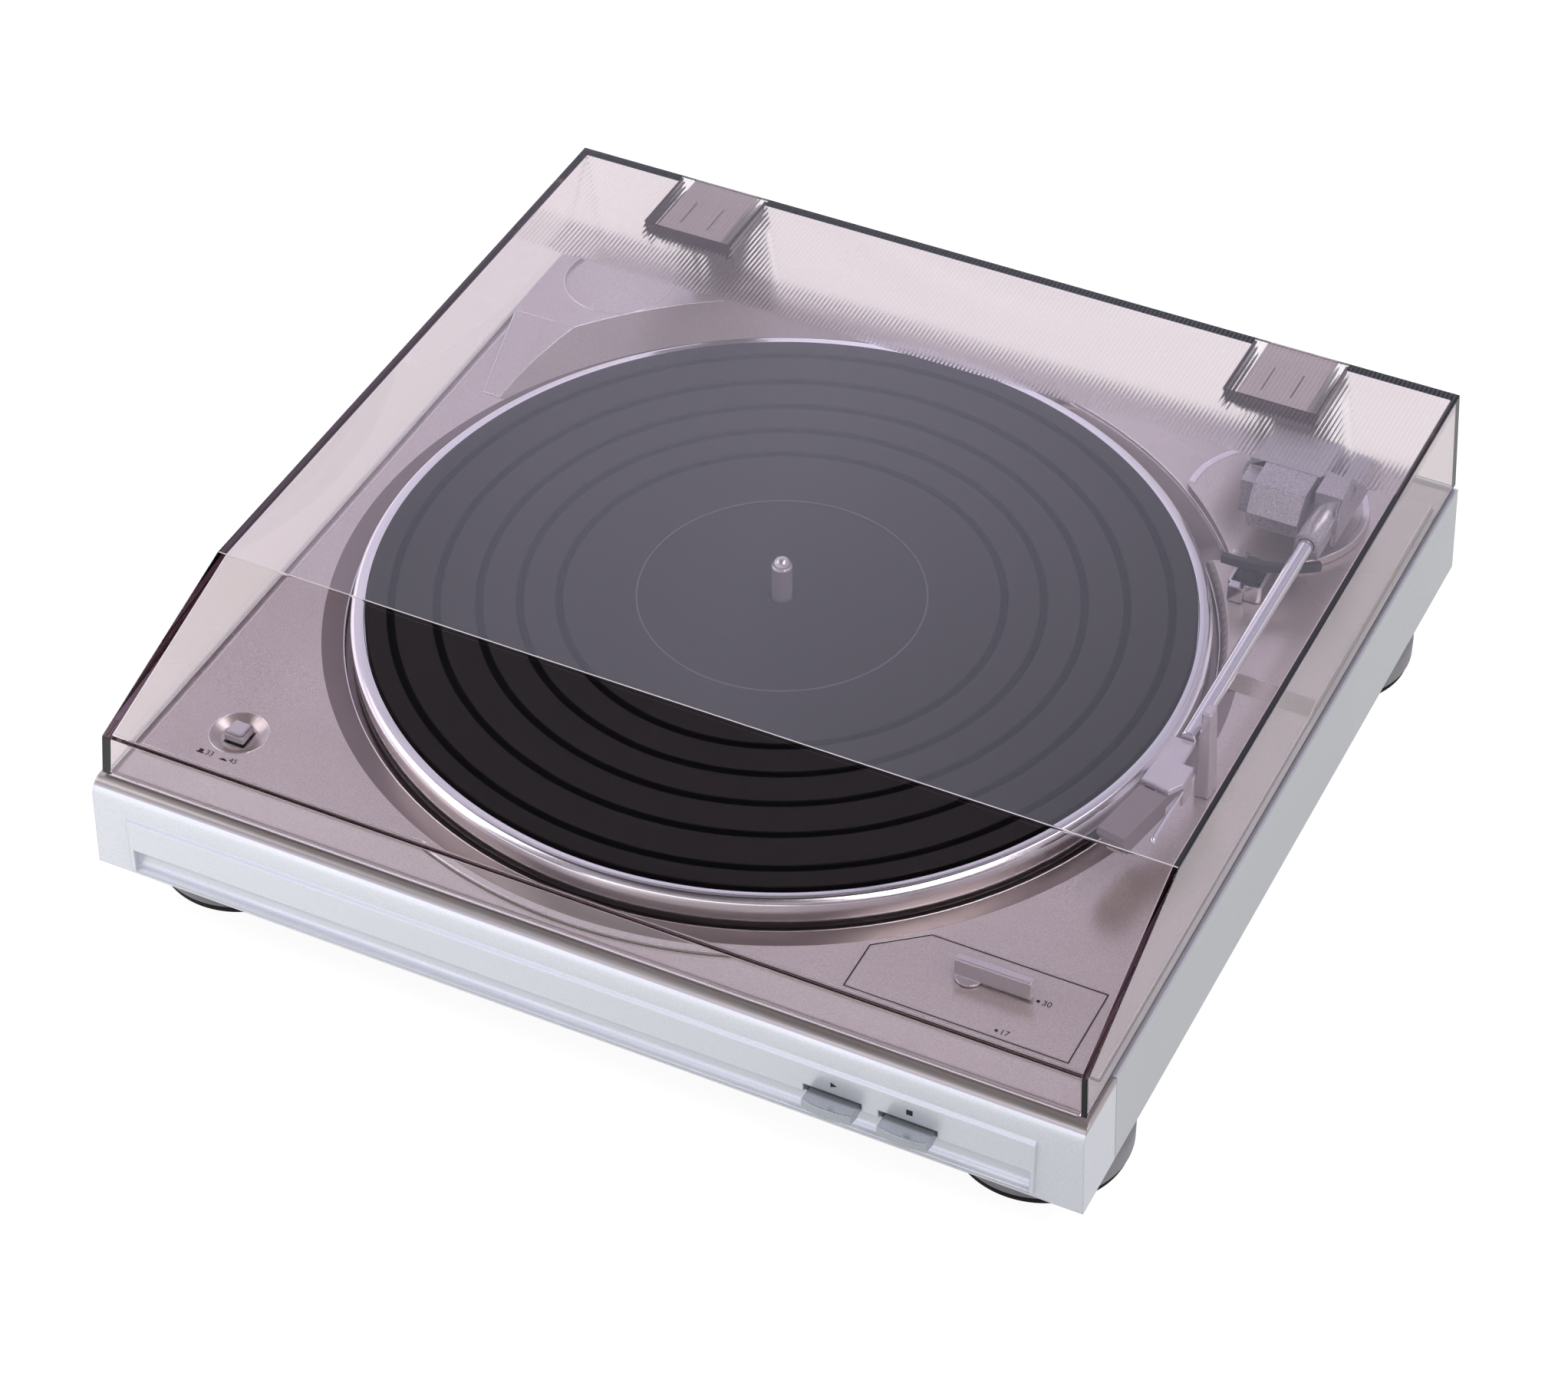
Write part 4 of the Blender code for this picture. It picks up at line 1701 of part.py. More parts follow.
def make_hinges():
    """Make each hinge: a base in the cabinet with its pin, and an arm in the cover's pocket."""
    axis_yz = (HINGE_AXIS_Y, HINGE_AXIS_Z)
    for name, middle in hinge_sides():
        half = HINGE_WIDTH / 2 - GAP
        arm_half = HINGE_ARM_WIDTH / 2
        floor_low = HINGE_AXIS_Z - HINGE_BARREL_RADIUS - HINGE_BASE_FLOOR
        floor_top = HINGE_AXIS_Z - HINGE_BARREL_RADIUS - GAP
        front = INNER_REAR_Y - HINGE_BASE_FLOOR + GAP
        reach = HINGE_AXIS_Y + HINGE_BARREL_RADIUS
        floor = box(middle - half, middle + half, front, reach, floor_low, floor_top)
        cheeks = merged([
            box(
                min(middle + side * (arm_half + GAP), middle + side * half),
                max(middle + side * (arm_half + GAP), middle + side * half),
                front, reach, floor_top - SINK, LEDGE_Z - GAP,
            )
            for side in (-1, 1)
        ])
        pin = rod(
            HINGE_PIN_RADIUS, "x", middle - arm_half - HINGE_BASE_CHEEK / 2,
            middle + arm_half + HINGE_BASE_CHEEK / 2, axis_yz,
        )
        solid(f"hinge_base_{name}", "black_plastic", floor, [("add", cheeks), ("add", pin)])
        pocket_top = COVER_TOP_Z - COVER_WALL - GAP
        plate_rear = HINGE_AXIS_Y + HINGE_BARREL_RADIUS
        plate_front = plate_rear - HINGE_ARM_PLATE
        plate_low = HINGE_AXIS_Z
        arm = prism(
            [
                (plate_rear, plate_low), (plate_rear, pocket_top),
                (COVER_REAR_Y - HINGE_POCKET_DEPTH + GAP, pocket_top),
                (COVER_REAR_Y - HINGE_POCKET_DEPTH + GAP, pocket_top - HINGE_ARM_TOP),
                (plate_front, pocket_top - HINGE_ARM_TOP), (plate_front, plate_low),
            ],
            "x", middle - arm_half, middle + arm_half,
        )
        barrel = rod(
            HINGE_BARREL_RADIUS, "x", middle - arm_half, middle + arm_half, axis_yz, ROUND
        )
        hole = rod(
            HINGE_PIN_RADIUS + GAP, "x", middle - arm_half - OVERRUN,
            middle + arm_half + OVERRUN, axis_yz,
        )
        solid(f"hinge_arm_{name}", "black_plastic", arm, [("add", barrel), ("cut", hole)],
              (middle, HINGE_AXIS_Y, HINGE_AXIS_Z))


def main():
    """Clear the scene and build every piece."""
    for old in list(bpy.data.objects):
        bpy.data.objects.remove(old, do_unlink=True)
    make_cabinet()
    make_front_panel()
    make_bottom_cover()
    make_feet()
    make_platter()
    make_gears()
    make_mechanism_plate()
    make_drive()
    make_electrics()
    make_controls()
    make_keys()
    make_arm_base()
    make_arm_yaw_group()
    make_pivot_block()
    make_arm_front()
    make_lifter()
    make_arm_rest()
    make_cover()
    make_hinges()


main()
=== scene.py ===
import json
import math

import bmesh
import bpy
import numpy as np
from mathutils import Matrix, Vector


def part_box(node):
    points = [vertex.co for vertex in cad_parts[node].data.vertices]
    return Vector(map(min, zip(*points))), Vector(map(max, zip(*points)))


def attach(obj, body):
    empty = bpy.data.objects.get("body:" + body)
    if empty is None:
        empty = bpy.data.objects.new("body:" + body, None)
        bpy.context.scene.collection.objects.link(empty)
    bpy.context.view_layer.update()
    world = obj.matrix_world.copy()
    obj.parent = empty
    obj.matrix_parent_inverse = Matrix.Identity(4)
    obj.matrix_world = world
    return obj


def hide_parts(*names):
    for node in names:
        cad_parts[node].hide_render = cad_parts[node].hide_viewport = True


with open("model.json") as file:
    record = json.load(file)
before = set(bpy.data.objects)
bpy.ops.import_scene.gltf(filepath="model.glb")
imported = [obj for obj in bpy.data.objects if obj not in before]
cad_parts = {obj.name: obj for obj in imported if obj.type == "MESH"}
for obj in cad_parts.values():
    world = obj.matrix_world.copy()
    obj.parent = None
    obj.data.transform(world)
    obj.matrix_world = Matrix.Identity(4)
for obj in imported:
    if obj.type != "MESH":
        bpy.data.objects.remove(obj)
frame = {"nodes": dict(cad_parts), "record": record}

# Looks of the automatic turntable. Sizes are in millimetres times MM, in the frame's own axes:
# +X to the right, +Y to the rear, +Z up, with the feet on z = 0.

MM = 0.001
TURN = 2 * math.pi
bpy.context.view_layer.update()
nodes = frame["nodes"]


# Colours and nodes

def linear(hex_colour):
    """Turns sRGB hex to linear RGBA: c / 12.92 for a dark channel, else
    ((c + 0.055) / 1.055) ** 2.4."""
    channels = np.array([int(hex_colour[k:k + 2], 16) for k in (0, 2, 4)]) / 255
    bright = ((channels + 0.055) / 1.055) ** 2.4
    return (*np.where(channels <= 0.04045, channels / 12.92, bright), 1.0)


def add(tree, kind, inputs=None, **settings):
    """Adds a node, sets its settings, and sets or links each of its inputs, by name or number."""
    node = tree.nodes.new(kind)
    for name, value in settings.items():
        setattr(node, name, value)
    for name, value in (inputs or {}).items():
        socket = node.inputs[name]
        if isinstance(value, bpy.types.NodeSocket):
            tree.links.new(value, socket)
        else:
            socket.default_value = value
    return node


def begin(name, shader_inputs):
    """Starts a material: returns it, its tree, Object coordinates and its Principled shader."""
    material = bpy.data.materials.new(name)
    material.use_nodes = True
    tree = material.node_tree
    tree.nodes.clear()
    place = add(tree, "ShaderNodeTexCoord").outputs["Object"]
    shader = add(tree, "ShaderNodeBsdfPrincipled", shader_inputs)
    add(tree, "ShaderNodeOutputMaterial", {"Surface": shader.outputs["BSDF"]})
    return material, tree, place, shader


PLATTER_X, PLATTER_Y = -7.7 * MM, 3.1 * MM


def axis_distance(tree, place):
    """How far a point lies from the platter's axis: the length of its (x, y) less the axis's."""
    moved = add(tree, "ShaderNodeVectorMath", {
        0: place, 1: (PLATTER_X, PLATTER_Y, 0),
    }, operation="SUBTRACT")
    flat = add(tree, "ShaderNodeVectorMath", {
        0: moved.outputs[0], 1: (1, 1, 0),
    }, operation="MULTIPLY")
    length = add(tree, "ShaderNodeVectorMath", {0: flat.outputs[0]}, operation="LENGTH")
    return length.outputs["Value"]


def kinds_of_look(tree):
    """Two switches: 1 for a look that nothing has thrown back yet, so it goes straight out or
    through the clear cover, and 1 for one that polished faces alone have thrown back."""
    path = add(tree, "ShaderNodeLightPath")
    bounces = add(tree, "ShaderNodeMath", {
        0: path.outputs["Diffuse Depth"], 1: path.outputs["Glossy Depth"],
    }, operation="ADD")
    straight = add(tree, "ShaderNodeMath", {0: bounces.outputs[0], 1: 0.5}, operation="LESS_THAN")
    polished = add(tree, "ShaderNodeMath", {
        0: path.outputs["Diffuse Depth"], 1: 0.5,
    }, operation="LESS_THAN")
    return straight.outputs[0], polished.outputs[0]


# Materials, each for what the real one is

FLAKE = 0.32 * MM           # lumps of aluminium flake in the paint, drawn coarse enough to show
CLOUD = 60 * MM             # slow drift of the flake's lie
PAINT_EDGE = 0.8 * MM       # paint pulls round an edge by this much, so the edge catches light
CAST_GRAIN = 0.7 * MM       # sandy texture of the paint on the arm's castings
TOOL_RINGS = 0.5 * MM       # tool rings of turning, drawn twice as far apart as they are
WIPE_MARKS = 4 * MM         # what a cloth leaves on polished metal
MOULD_GRAIN = 0.5 * MM      # spark-eroded skin of moulded plastic, drawn twice its size
DUST = 1.5 * MM             # spots of bloom and dust on rubber
RING_OUT, RING_HIGH = 158.4 * MM, 57.55 * MM
WALLS_FROM = 176.25 * MM    # the outer walls' own coat begins here, left and right
COATED_FROM = 53.9 * MM     # the deck's coat comes down to here over the panel's upper edge
COAT_METALLIC = 0.85
MAT_Z = 68 * MM
GROOVES_FROM = 60 * MM      # the mat's grooves all lie outside this radius
GROOVE_DARK, GROOVE_LIGHT = 0.35 * MM, 0.02 * MM    # depths where their black is full and ends
RUBBER_LEVEL, GROOVE_LEVEL = 0.2, 0.02              # how strongly rubber and grooves reflect


def flake_paint(name, dark, light, roughness, metallic, ring_shade=None, walls=None, top=None):
    """Silver paint with aluminium flake, sprayed on moulded ABS: a satin metal look with a fine
    glitter, slow clouds where the flake lies differently, and bright edges. The ring colour,
    where given, is painted shade: the sloping band round the platter well is coloured darker for
    the shade of its slope and of the platter. The walls colour is the paler coat on the outer
    walls, which matches the front panel. The top colour is the mauve coat over the panel's
    rolled upper edge, which shines more like bare metal."""
    material, tree, place, shader = begin(name, {"Metallic": metallic})
    flake = add(tree, "ShaderNodeTexNoise", {
        "Vector": place, "Scale": 1 / FLAKE, "Detail": 2.0, "Roughness": 0.6,
    })
    share = add(tree, "ShaderNodeMapRange", {
        "Value": flake.outputs["Fac"], "From Min": 0.35, "From Max": 0.65,
    })
    colour = add(tree, "ShaderNodeMix", {
        0: share.outputs["Result"], 6: linear(dark), 7: linear(light),
    }, data_type="RGBA").outputs[2]
    # Painted shade: the sloping ring round the platter well is coloured darker
    if ring_shade:
        inside = add(tree, "ShaderNodeMath", {
            0: axis_distance(tree, place), 1: RING_OUT,
        }, operation="LESS_THAN")
        parts = add(tree, "ShaderNodeSeparateXYZ", {0: place})
        low = add(tree, "ShaderNodeMath", {
            0: parts.outputs[2], 1: RING_HIGH,
        }, operation="LESS_THAN")
        band = add(tree, "ShaderNodeMath", {
            0: inside.outputs[0], 1: low.outputs[0],
        }, operation="MULTIPLY")
        colour = add(tree, "ShaderNodeMix", {
            0: band.outputs[0], 6: colour, 7: linear(ring_shade),
        }, data_type="RGBA").outputs[2]
        aside = add(tree, "ShaderNodeMath", {0: parts.outputs[0]}, operation="ABSOLUTE")
        beyond = add(tree, "ShaderNodeMath", {
            0: aside.outputs[0], 1: WALLS_FROM,
        }, operation="GREATER_THAN")
        colour = add(tree, "ShaderNodeMix", {
            0: beyond.outputs[0], 6: colour, 7: linear(walls),
        }, data_type="RGBA").outputs[2]
    if top:
        parts = add(tree, "ShaderNodeSeparateXYZ", {0: place})
        coated = add(tree, "ShaderNodeMath", {
            0: parts.outputs[2], 1: COATED_FROM,
        }, operation="GREATER_THAN")
        colour = add(tree, "ShaderNodeMix", {
            0: coated.outputs[0], 6: colour, 7: linear(top),
        }, data_type="RGBA").outputs[2]
        share_of_metal = add(tree, "ShaderNodeMapRange", {
            "Value": coated.outputs[0], "To Min": metallic, "To Max": COAT_METALLIC,
        })
        tree.links.new(share_of_metal.outputs["Result"], shader.inputs["Metallic"])
    tree.links.new(colour, shader.inputs["Base Color"])
    cloud = add(tree, "ShaderNodeTexNoise", {"Vector": place, "Scale": 1 / CLOUD, "Detail": 1.0})
    sheen = add(tree, "ShaderNodeMapRange", {
        "Value": cloud.outputs["Fac"], "From Min": 0.3, "From Max": 0.7,
        "To Min": roughness - 0.03, "To Max": roughness + 0.03,
    })
    tree.links.new(sheen.outputs["Result"], shader.inputs["Roughness"])
    rounded = add(tree, "ShaderNodeBevel", {"Radius": PAINT_EDGE}, samples=6)
    skin = add(tree, "ShaderNodeBump", {
        "Height": flake.outputs["Fac"], "Strength": 0.12, "Distance": 0.03 * MM,
        "Normal": rounded.outputs["Normal"],
    })
    tree.links.new(skin.outputs["Normal"], shader.inputs["Normal"])
    return material


def sprayed_casting(name, dark, light, roughness):
    """Silver-grey texture paint on zinc castings: matt metal with a sandy skin."""
    material, tree, place, shader = begin(name, {"Metallic": 0.6, "Roughness": roughness})
    sand = add(tree, "ShaderNodeTexNoise", {
        "Vector": place, "Scale": 1 / CAST_GRAIN, "Detail": 3.0, "Roughness": 0.65,
    })
    share = add(tree, "ShaderNodeMapRange", {
        "Value": sand.outputs["Fac"], "From Min": 0.32, "From Max": 0.68,
    })
    colour = add(tree, "ShaderNodeMix", {
        0: share.outputs["Result"], 6: linear(dark), 7: linear(light),
    }, data_type="RGBA")
    skin = add(tree, "ShaderNodeBump", {
        "Height": sand.outputs["Fac"], "Strength": 0.35, "Distance": 0.08 * MM,
    })
    tree.links.new(colour.outputs[2], shader.inputs["Base Color"])
    tree.links.new(skin.outputs["Normal"], shader.inputs["Normal"])
    return material


def turned_metal(name, colour, roughness):
    """Aluminium turned on a lathe: fine tool rings, which streak the light round the axis."""
    material, tree, place, shader = begin(name, {"Base Color": linear(colour), "Metallic": 1.0})
    rings = add(tree, "ShaderNodeTexNoise", {
        "W": axis_distance(tree, place), "Scale": 1 / TOOL_RINGS, "Detail": 2.0,
    }, noise_dimensions="1D")
    sheen = add(tree, "ShaderNodeMapRange", {
        "Value": rings.outputs["Fac"], "From Min": 0.3, "From Max": 0.7,
        "To Min": roughness * 0.7, "To Max": roughness * 1.4,
    })
    skin = add(tree, "ShaderNodeBump", {
        "Height": rings.outputs["Fac"], "Strength": 0.2, "Distance": 0.01 * MM,
    })
    tree.links.new(sheen.outputs["Result"], shader.inputs["Roughness"])
    tree.links.new(skin.outputs["Normal"], shader.inputs["Normal"])
    return material


def bright_metal(name, colour, roughness):
    """Polished plating or bare polished metal: near mirror, with faint marks of wiping."""
    material, tree, place, shader = begin(name, {"Base Color": linear(colour), "Metallic": 1.0})
    wipe = add(tree, "ShaderNodeTexNoise", {
        "Vector": place, "Scale": 1 / WIPE_MARKS, "Detail": 2.0,
    })
    sheen = add(tree, "ShaderNodeMapRange", {
        "Value": wipe.outputs["Fac"], "From Min": 0.3, "From Max": 0.7,
        "To Min": roughness * 0.8, "To Max": roughness * 1.5,
    })
    tree.links.new(sheen.outputs["Result"], shader.inputs["Roughness"])
    return material


def moulded(name, dark, light, roughness, depth=0.03 * MM):
    """Moulded plastic with a fine spark-eroded skin, which breaks up its highlights."""
    material, tree, place, shader = begin(name, {"Specular IOR Level": 0.5})
    skin = add(tree, "ShaderNodeTexNoise", {
        "Vector": place, "Scale": 1 / MOULD_GRAIN, "Detail": 2.0, "Roughness": 0.6,
    })
    share = add(tree, "ShaderNodeMapRange", {
        "Value": skin.outputs["Fac"], "From Min": 0.3, "From Max": 0.7,
    })
    colour = add(tree, "ShaderNodeMix", {
        0: share.outputs["Result"], 6: linear(dark), 7: linear(light),
    }, data_type="RGBA")
    sheen = add(tree, "ShaderNodeMapRange", {
        "Value": skin.outputs["Fac"], "From Min": 0.3, "From Max": 0.7,
        "To Min": roughness - 0.05, "To Max": roughness + 0.05,
    })
    grain = add(tree, "ShaderNodeBump", {
        "Height": skin.outputs["Fac"], "Strength": 0.2, "Distance": depth,
    })
    tree.links.new(colour.outputs[2], shader.inputs["Base Color"])
    tree.links.new(sheen.outputs["Result"], shader.inputs["Roughness"])
    tree.links.new(grain.outputs["Normal"], shader.inputs["Normal"])
    return material


def rubber(name, dark, light, roughness, groove_shade=None):
    """Vulcanised rubber: very dark and matt, with a dusty bloom in small spots. The groove colour,
    where given, is painted shade: the mat's grooves are coloured blacker below their rim."""
    material, tree, place, shader = begin(name, {"Specular IOR Level": RUBBER_LEVEL})
    dust = add(tree, "ShaderNodeTexNoise", {"Vector": place, "Scale": 1 / DUST, "Detail": 3.0})
    share = add(tree, "ShaderNodeMapRange", {
        "Value": dust.outputs["Fac"], "From Min": 0.35, "From Max": 0.75,
    })
    colour = add(tree, "ShaderNodeMix", {
        0: share.outputs["Result"], 6: linear(dark), 7: linear(light),
    }, data_type="RGBA")
    # Painted shade: the mat's grooves are coloured blacker, and reflect less, below their rim
    if groove_shade:
        outside = add(tree, "ShaderNodeMath", {
            0: axis_distance(tree, place), 1: GROOVES_FROM,
        }, operation="GREATER_THAN")
        parts = add(tree, "ShaderNodeSeparateXYZ", {0: place})
        low = add(tree, "ShaderNodeMapRange", {
            "Value": parts.outputs[2], "From Min": MAT_Z - GROOVE_DARK,
            "From Max": MAT_Z - GROOVE_LIGHT, "To Min": 1.0, "To Max": 0.0,
        })
        groove_shade_share = add(tree, "ShaderNodeMath", {
            0: outside.outputs[0], 1: low.outputs["Result"],
        }, operation="MULTIPLY")
        colour = add(tree, "ShaderNodeMix", {
            0: groove_shade_share.outputs[0], 6: colour.outputs[2], 7: linear(groove_shade),
        }, data_type="RGBA")
        level = add(tree, "ShaderNodeMapRange", {
            "Value": groove_shade_share.outputs[0], "To Min": RUBBER_LEVEL, "To Max": GROOVE_LEVEL,
        })
        tree.links.new(level.outputs["Result"], shader.inputs["Specular IOR Level"])
    sheen = add(tree, "ShaderNodeMapRange", {
        "Value": dust.outputs["Fac"], "From Min": 0.3, "From Max": 0.7,
        "To Min": roughness - 0.06, "To Max": roughness + 0.06,
    })
    skin = add(tree, "ShaderNodeBump", {
        "Height": dust.outputs["Fac"], "Strength": 0.15, "Distance": 0.02 * MM,
    })
    tree.links.new(colour.outputs[2], shader.inputs["Base Color"])
    tree.links.new(sheen.outputs["Result"], shader.inputs["Roughness"])
    tree.links.new(skin.outputs["Normal"], shader.inputs["Normal"])
    return material


STRIP_FRONT = 112.6 * MM    # where the ribbed rear strip of the cover's top begins
STRIP_DEEP = 4 * MM         # the ribs reach down by this, so the walls below stay clear
STRIP_BLUR = 0.13           # roughness that stands for the ribs' own fine finish
RIB_PITCH = 1.6 * MM        # the real ribs are 0.8 mm apart, too fine to show
COVER_TOP = 97 * MM


def smoked_acrylic(name):
    """Injection-moulded smoked acrylic: clear with a grey-rose tint that deepens along the
    edges, and fine ribs front to back on the rear strip of the top, which blur what is below."""
    material, tree, place, shader = begin(name, {
        "Base Color": (1, 1, 1, 1), "IOR": 1.49, "Transmission Weight": 1.0,
    })
    parts = add(tree, "ShaderNodeSeparateXYZ", {0: place})
    behind = add(tree, "ShaderNodeMath", {
        0: parts.outputs[1], 1: STRIP_FRONT,
    }, operation="GREATER_THAN")
    high = add(tree, "ShaderNodeMath", {
        0: parts.outputs[2], 1: COVER_TOP - STRIP_DEEP,
    }, operation="GREATER_THAN")
    strip = add(tree, "ShaderNodeMath", {
        0: behind.outputs[0], 1: high.outputs[0],
    }, operation="MULTIPLY")
    blur = add(tree, "ShaderNodeMath", {0: strip.outputs[0], 1: STRIP_BLUR}, operation="MULTIPLY")
    tree.links.new(blur.outputs[0], shader.inputs["Roughness"])
    rib = add(tree, "ShaderNodeMath", {
        0: parts.outputs[0], 1: RIB_PITCH / 2,
    }, operation="PINGPONG")
    ribs = add(tree, "ShaderNodeMath", {
        0: rib.outputs[0], 1: strip.outputs[0],
    }, operation="MULTIPLY")
    relief = add(tree, "ShaderNodeBump", {
        "Height": ribs.outputs[0], "Strength": 0.1, "Distance": 1.0,
    })
    tree.links.new(relief.outputs["Normal"], shader.inputs["Normal"])
    # Lamps light what lies inside, as through the real cover
    path = add(tree, "ShaderNodeLightPath")
    clear = add(tree, "ShaderNodeBsdfTransparent", {"Color": (0.90, 0.86, 0.87, 1)})
    mix = add(tree, "ShaderNodeMixShader", {
        0: path.outputs["Is Shadow Ray"], 1: shader.outputs["BSDF"], 2: clear.outputs["BSDF"],
    })
    smoke = add(tree, "ShaderNodeVolumeAbsorption", {
        "Color": (0.40, 0.16, 0.21, 1), "Density": 75.0,
    })
    output = tree.nodes["Material Output"]
    tree.links.new(mix.outputs[0], output.inputs["Surface"])
    tree.links.new(smoke.outputs[0], output.inputs["Volume"])
    return material


# Paints: mauve-silver deck with a ring of painted shade, paler pearl front, steel-grey keys,
# and a lighter paint on rolled edges as a painted highlight
silver = flake_paint(
    "silver_flake_paint_on_abs", "B5ADAB", "D1CAC8", 0.29, 0.78, ring_shade="827877", walls="C4C6CA",
)
panel_silver = flake_paint(
    "pearl_silver_paint_on_abs", "CDCFD6", "DDDEE5", 0.3, 0.5, top="B5ADAB",
)
key_silver = flake_paint("steel_grey_paint_on_abs", "A4A9AF", "BABEC3", 0.26, 0.75)
shell_paint = flake_paint("painted_headshell_abs", "BDB9BF", "D0CDD3", 0.28, 0.75)
edge_highlight_paint = flake_paint("silver_paint_lightened_as_edge_highlight", "D8D4D8", "E4E1E4", 0.2, 0.85)
casting = sprayed_casting("texture_painted_zinc_casting", "8C8A92", "B7B5BD", 0.34)

# Metals: streaked by the lathe, satin or mirror-bright; the spindle's steel glitters finely
platter_metal = turned_metal("turned_aluminium", "F2F1F2", 0.19)
satin_metal = bright_metal("satin_aluminium", "D2D0D4", 0.2)
chrome = bright_metal("polished_chrome", "F0F0F2", 0.1)
zinc = bright_metal("zinc_plated_steel", "A9ABAA", 0.3)
brass = bright_metal("turned_brass", "C9A45A", 0.25)
spindle_metal = flake_paint("machined_steel", "B9B8BD", "CBCACF", 0.18, 0.75)

# Rubbers: near black, the mat's moulding line greyer where it catches the light, and the
# mat's grooves blacker as painted shade
mat_rubber = rubber("vulcanised_rubber_mat", "151314", "1C1A1B", 0.5, "020202")
line_rubber = rubber("vulcanised_rubber_moulding_line", "4A484D", "57555B", 0.5)
foot_rubber = rubber("rubber_foot_pad", "141415", "1F1F20", 0.8)
belt_rubber = rubber("ground_belt_rubber", "151515", "1E1E1E", 0.65)

# Plastics: satin, from black and grey to milky acetal, and the lacquer of the circuit board
black_abs_and_slot_shade = moulded("moulded_black_abs_and_slot_shade", "1C1C1F", "28282C", 0.42)
grey_abs = moulded("moulded_grey_abs", "747074", "858185", 0.42)
hinge_abs = moulded("moulded_hinge_abs", "8F898B", "A09A9C", 0.35)
cartridge_abs = moulded("moulded_cartridge_abs", "6B646A", "787177", 0.4)
guard_abs = moulded("moulded_pale_abs", "C6C1C5", "D6D2D5", 0.3)
acetal = moulded("natural_acetal", "DCD9CF", "E6E3DA", 0.4)
board_mask = moulded("solder_mask_on_glass_fibre", "0E3B22", "145030", 0.35)
ink_and_joint_shadow = moulded("black_print_ink_and_joint_shadow", "060607", "0B0B0C", 0.6, 0.005 * MM)

# The cover, whose acrylic is dark when seen on edge, and pale rods of painted highlight along
# its fold and lips
acrylic = smoked_acrylic("smoked_acrylic")
rib_acrylic = moulded("smoked_acrylic_on_edge", "3E3235", "4A3E41", 0.2)
acrylic_edge_highlight = moulded("pale_acrylic_as_painted_highlight", "CFCACD", "DAD6D9", 0.12)

SLOT_MATERIALS = {
    "silver_paint": panel_silver, "mauve_metallic": silver, "bare_aluminium": satin_metal,
    "chrome": chrome, "black_rubber": belt_rubber, "black_plastic": black_abs_and_slot_shade,
    "grey_plastic": grey_abs, "zinc_steel": zinc, "cast_zinc": casting, "white_acetal": acetal,
    "brass": brass, "green_board": board_mask, "smoked_acrylic": acrylic,
}
node_slots = {s["node"]: s["material_slot"] for s in frame["record"]["subparts"]}
for name, node in nodes.items():
    node.data.materials.clear()
    node.data.materials.append(SLOT_MATERIALS[node_slots[name]])


# Making and placing pieces

def settle(name, mesh, material, body, replaced=(), sharp=35):
    """Shades the mesh, links its object at the origin, and hangs it under its body's empty."""
    mesh.materials.clear()
    mesh.materials.append(material)
    mesh.shade_smooth()
    mesh.set_sharp_from_angle(angle=math.radians(sharp))
    made = bpy.data.objects.new(name, mesh)
    bpy.context.scene.collection.objects.link(made)
    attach(made, body)
    if replaced:
        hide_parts(*replaced)
    return made


def closed_piece(name, points, faces, material, body, replaced=(), sharp=35):
    """Merges the poles and seams of a closed form, turns its faces outwards, and settles it."""
    mesh = bpy.data.meshes.new(name)
    mesh.from_pydata(np.asarray(points, float).tolist(), [], [list(f) for f in faces])
    form = bmesh.new()
    form.from_mesh(mesh)
    bmesh.ops.remove_doubles(form, verts=form.verts, dist=0.0005 * MM)
    bmesh.ops.recalc_face_normals(form, faces=form.faces)
    form.to_mesh(mesh)
    form.free()
    return settle(name, mesh, material, body, replaced, sharp)


def turned(name, profile, centre, material, body, replaced=(), count=192):
    """Turns a closed profile of (radius, height) rows about a vertical axis: point (r, z) goes to
    (cx + r cos a, cy + r sin a, z) for count equal angles a."""
    rows = np.array(profile, float)
    angle = np.arange(count) * TURN / count
    x = centre[0] + rows[:, :1] * np.cos(angle)
    y = centre[1] + rows[:, :1] * np.sin(angle)
    z = np.repeat(rows[:, 1:], count, axis=1)
    points = np.stack([x, y, z], axis=-1).reshape(-1, 3)
    r = np.arange(len(rows))[:, None] * count
    c = np.arange(count)[None, :]
    following = (np.arange(len(rows))[:, None] + 1) % len(rows) * count
    n = (c + 1) % count
    faces = np.stack(np.broadcast_arrays(r + c, r + n, following + n, following + c), -1)
    return closed_piece(name, points, faces.reshape(-1, 4), material, body, replaced)


def carried(name, sections, material, body, replaced=(), sharp=35, open_cells=None, jambs=()):
    """Joins equal closed sections, an array of section x point x 3, in order along a path, and
    closes both ends. Cells that open_cells marks are left out, and jambs close their sides."""
    grid = np.asarray(sections, float)
    count, around = grid.shape[:2]
    r = np.arange(count - 1)[:, None] * around
    c = np.arange(around)[None, :]
    n = (c + 1) % around
    cells = np.stack(np.broadcast_arrays(r + c, r + n, r + around + n, r + around + c), -1)
    kept = cells[~open_cells] if open_cells is not None else cells.reshape(-1, 4)
    faces = kept.tolist() + [list(j) for j in jambs]
    faces.append(list(range(around))[::-1])
    faces.append(list(range((count - 1) * around, count * around)))
    return closed_piece(name, grid.reshape(-1, 3), faces, material, body, replaced, sharp)


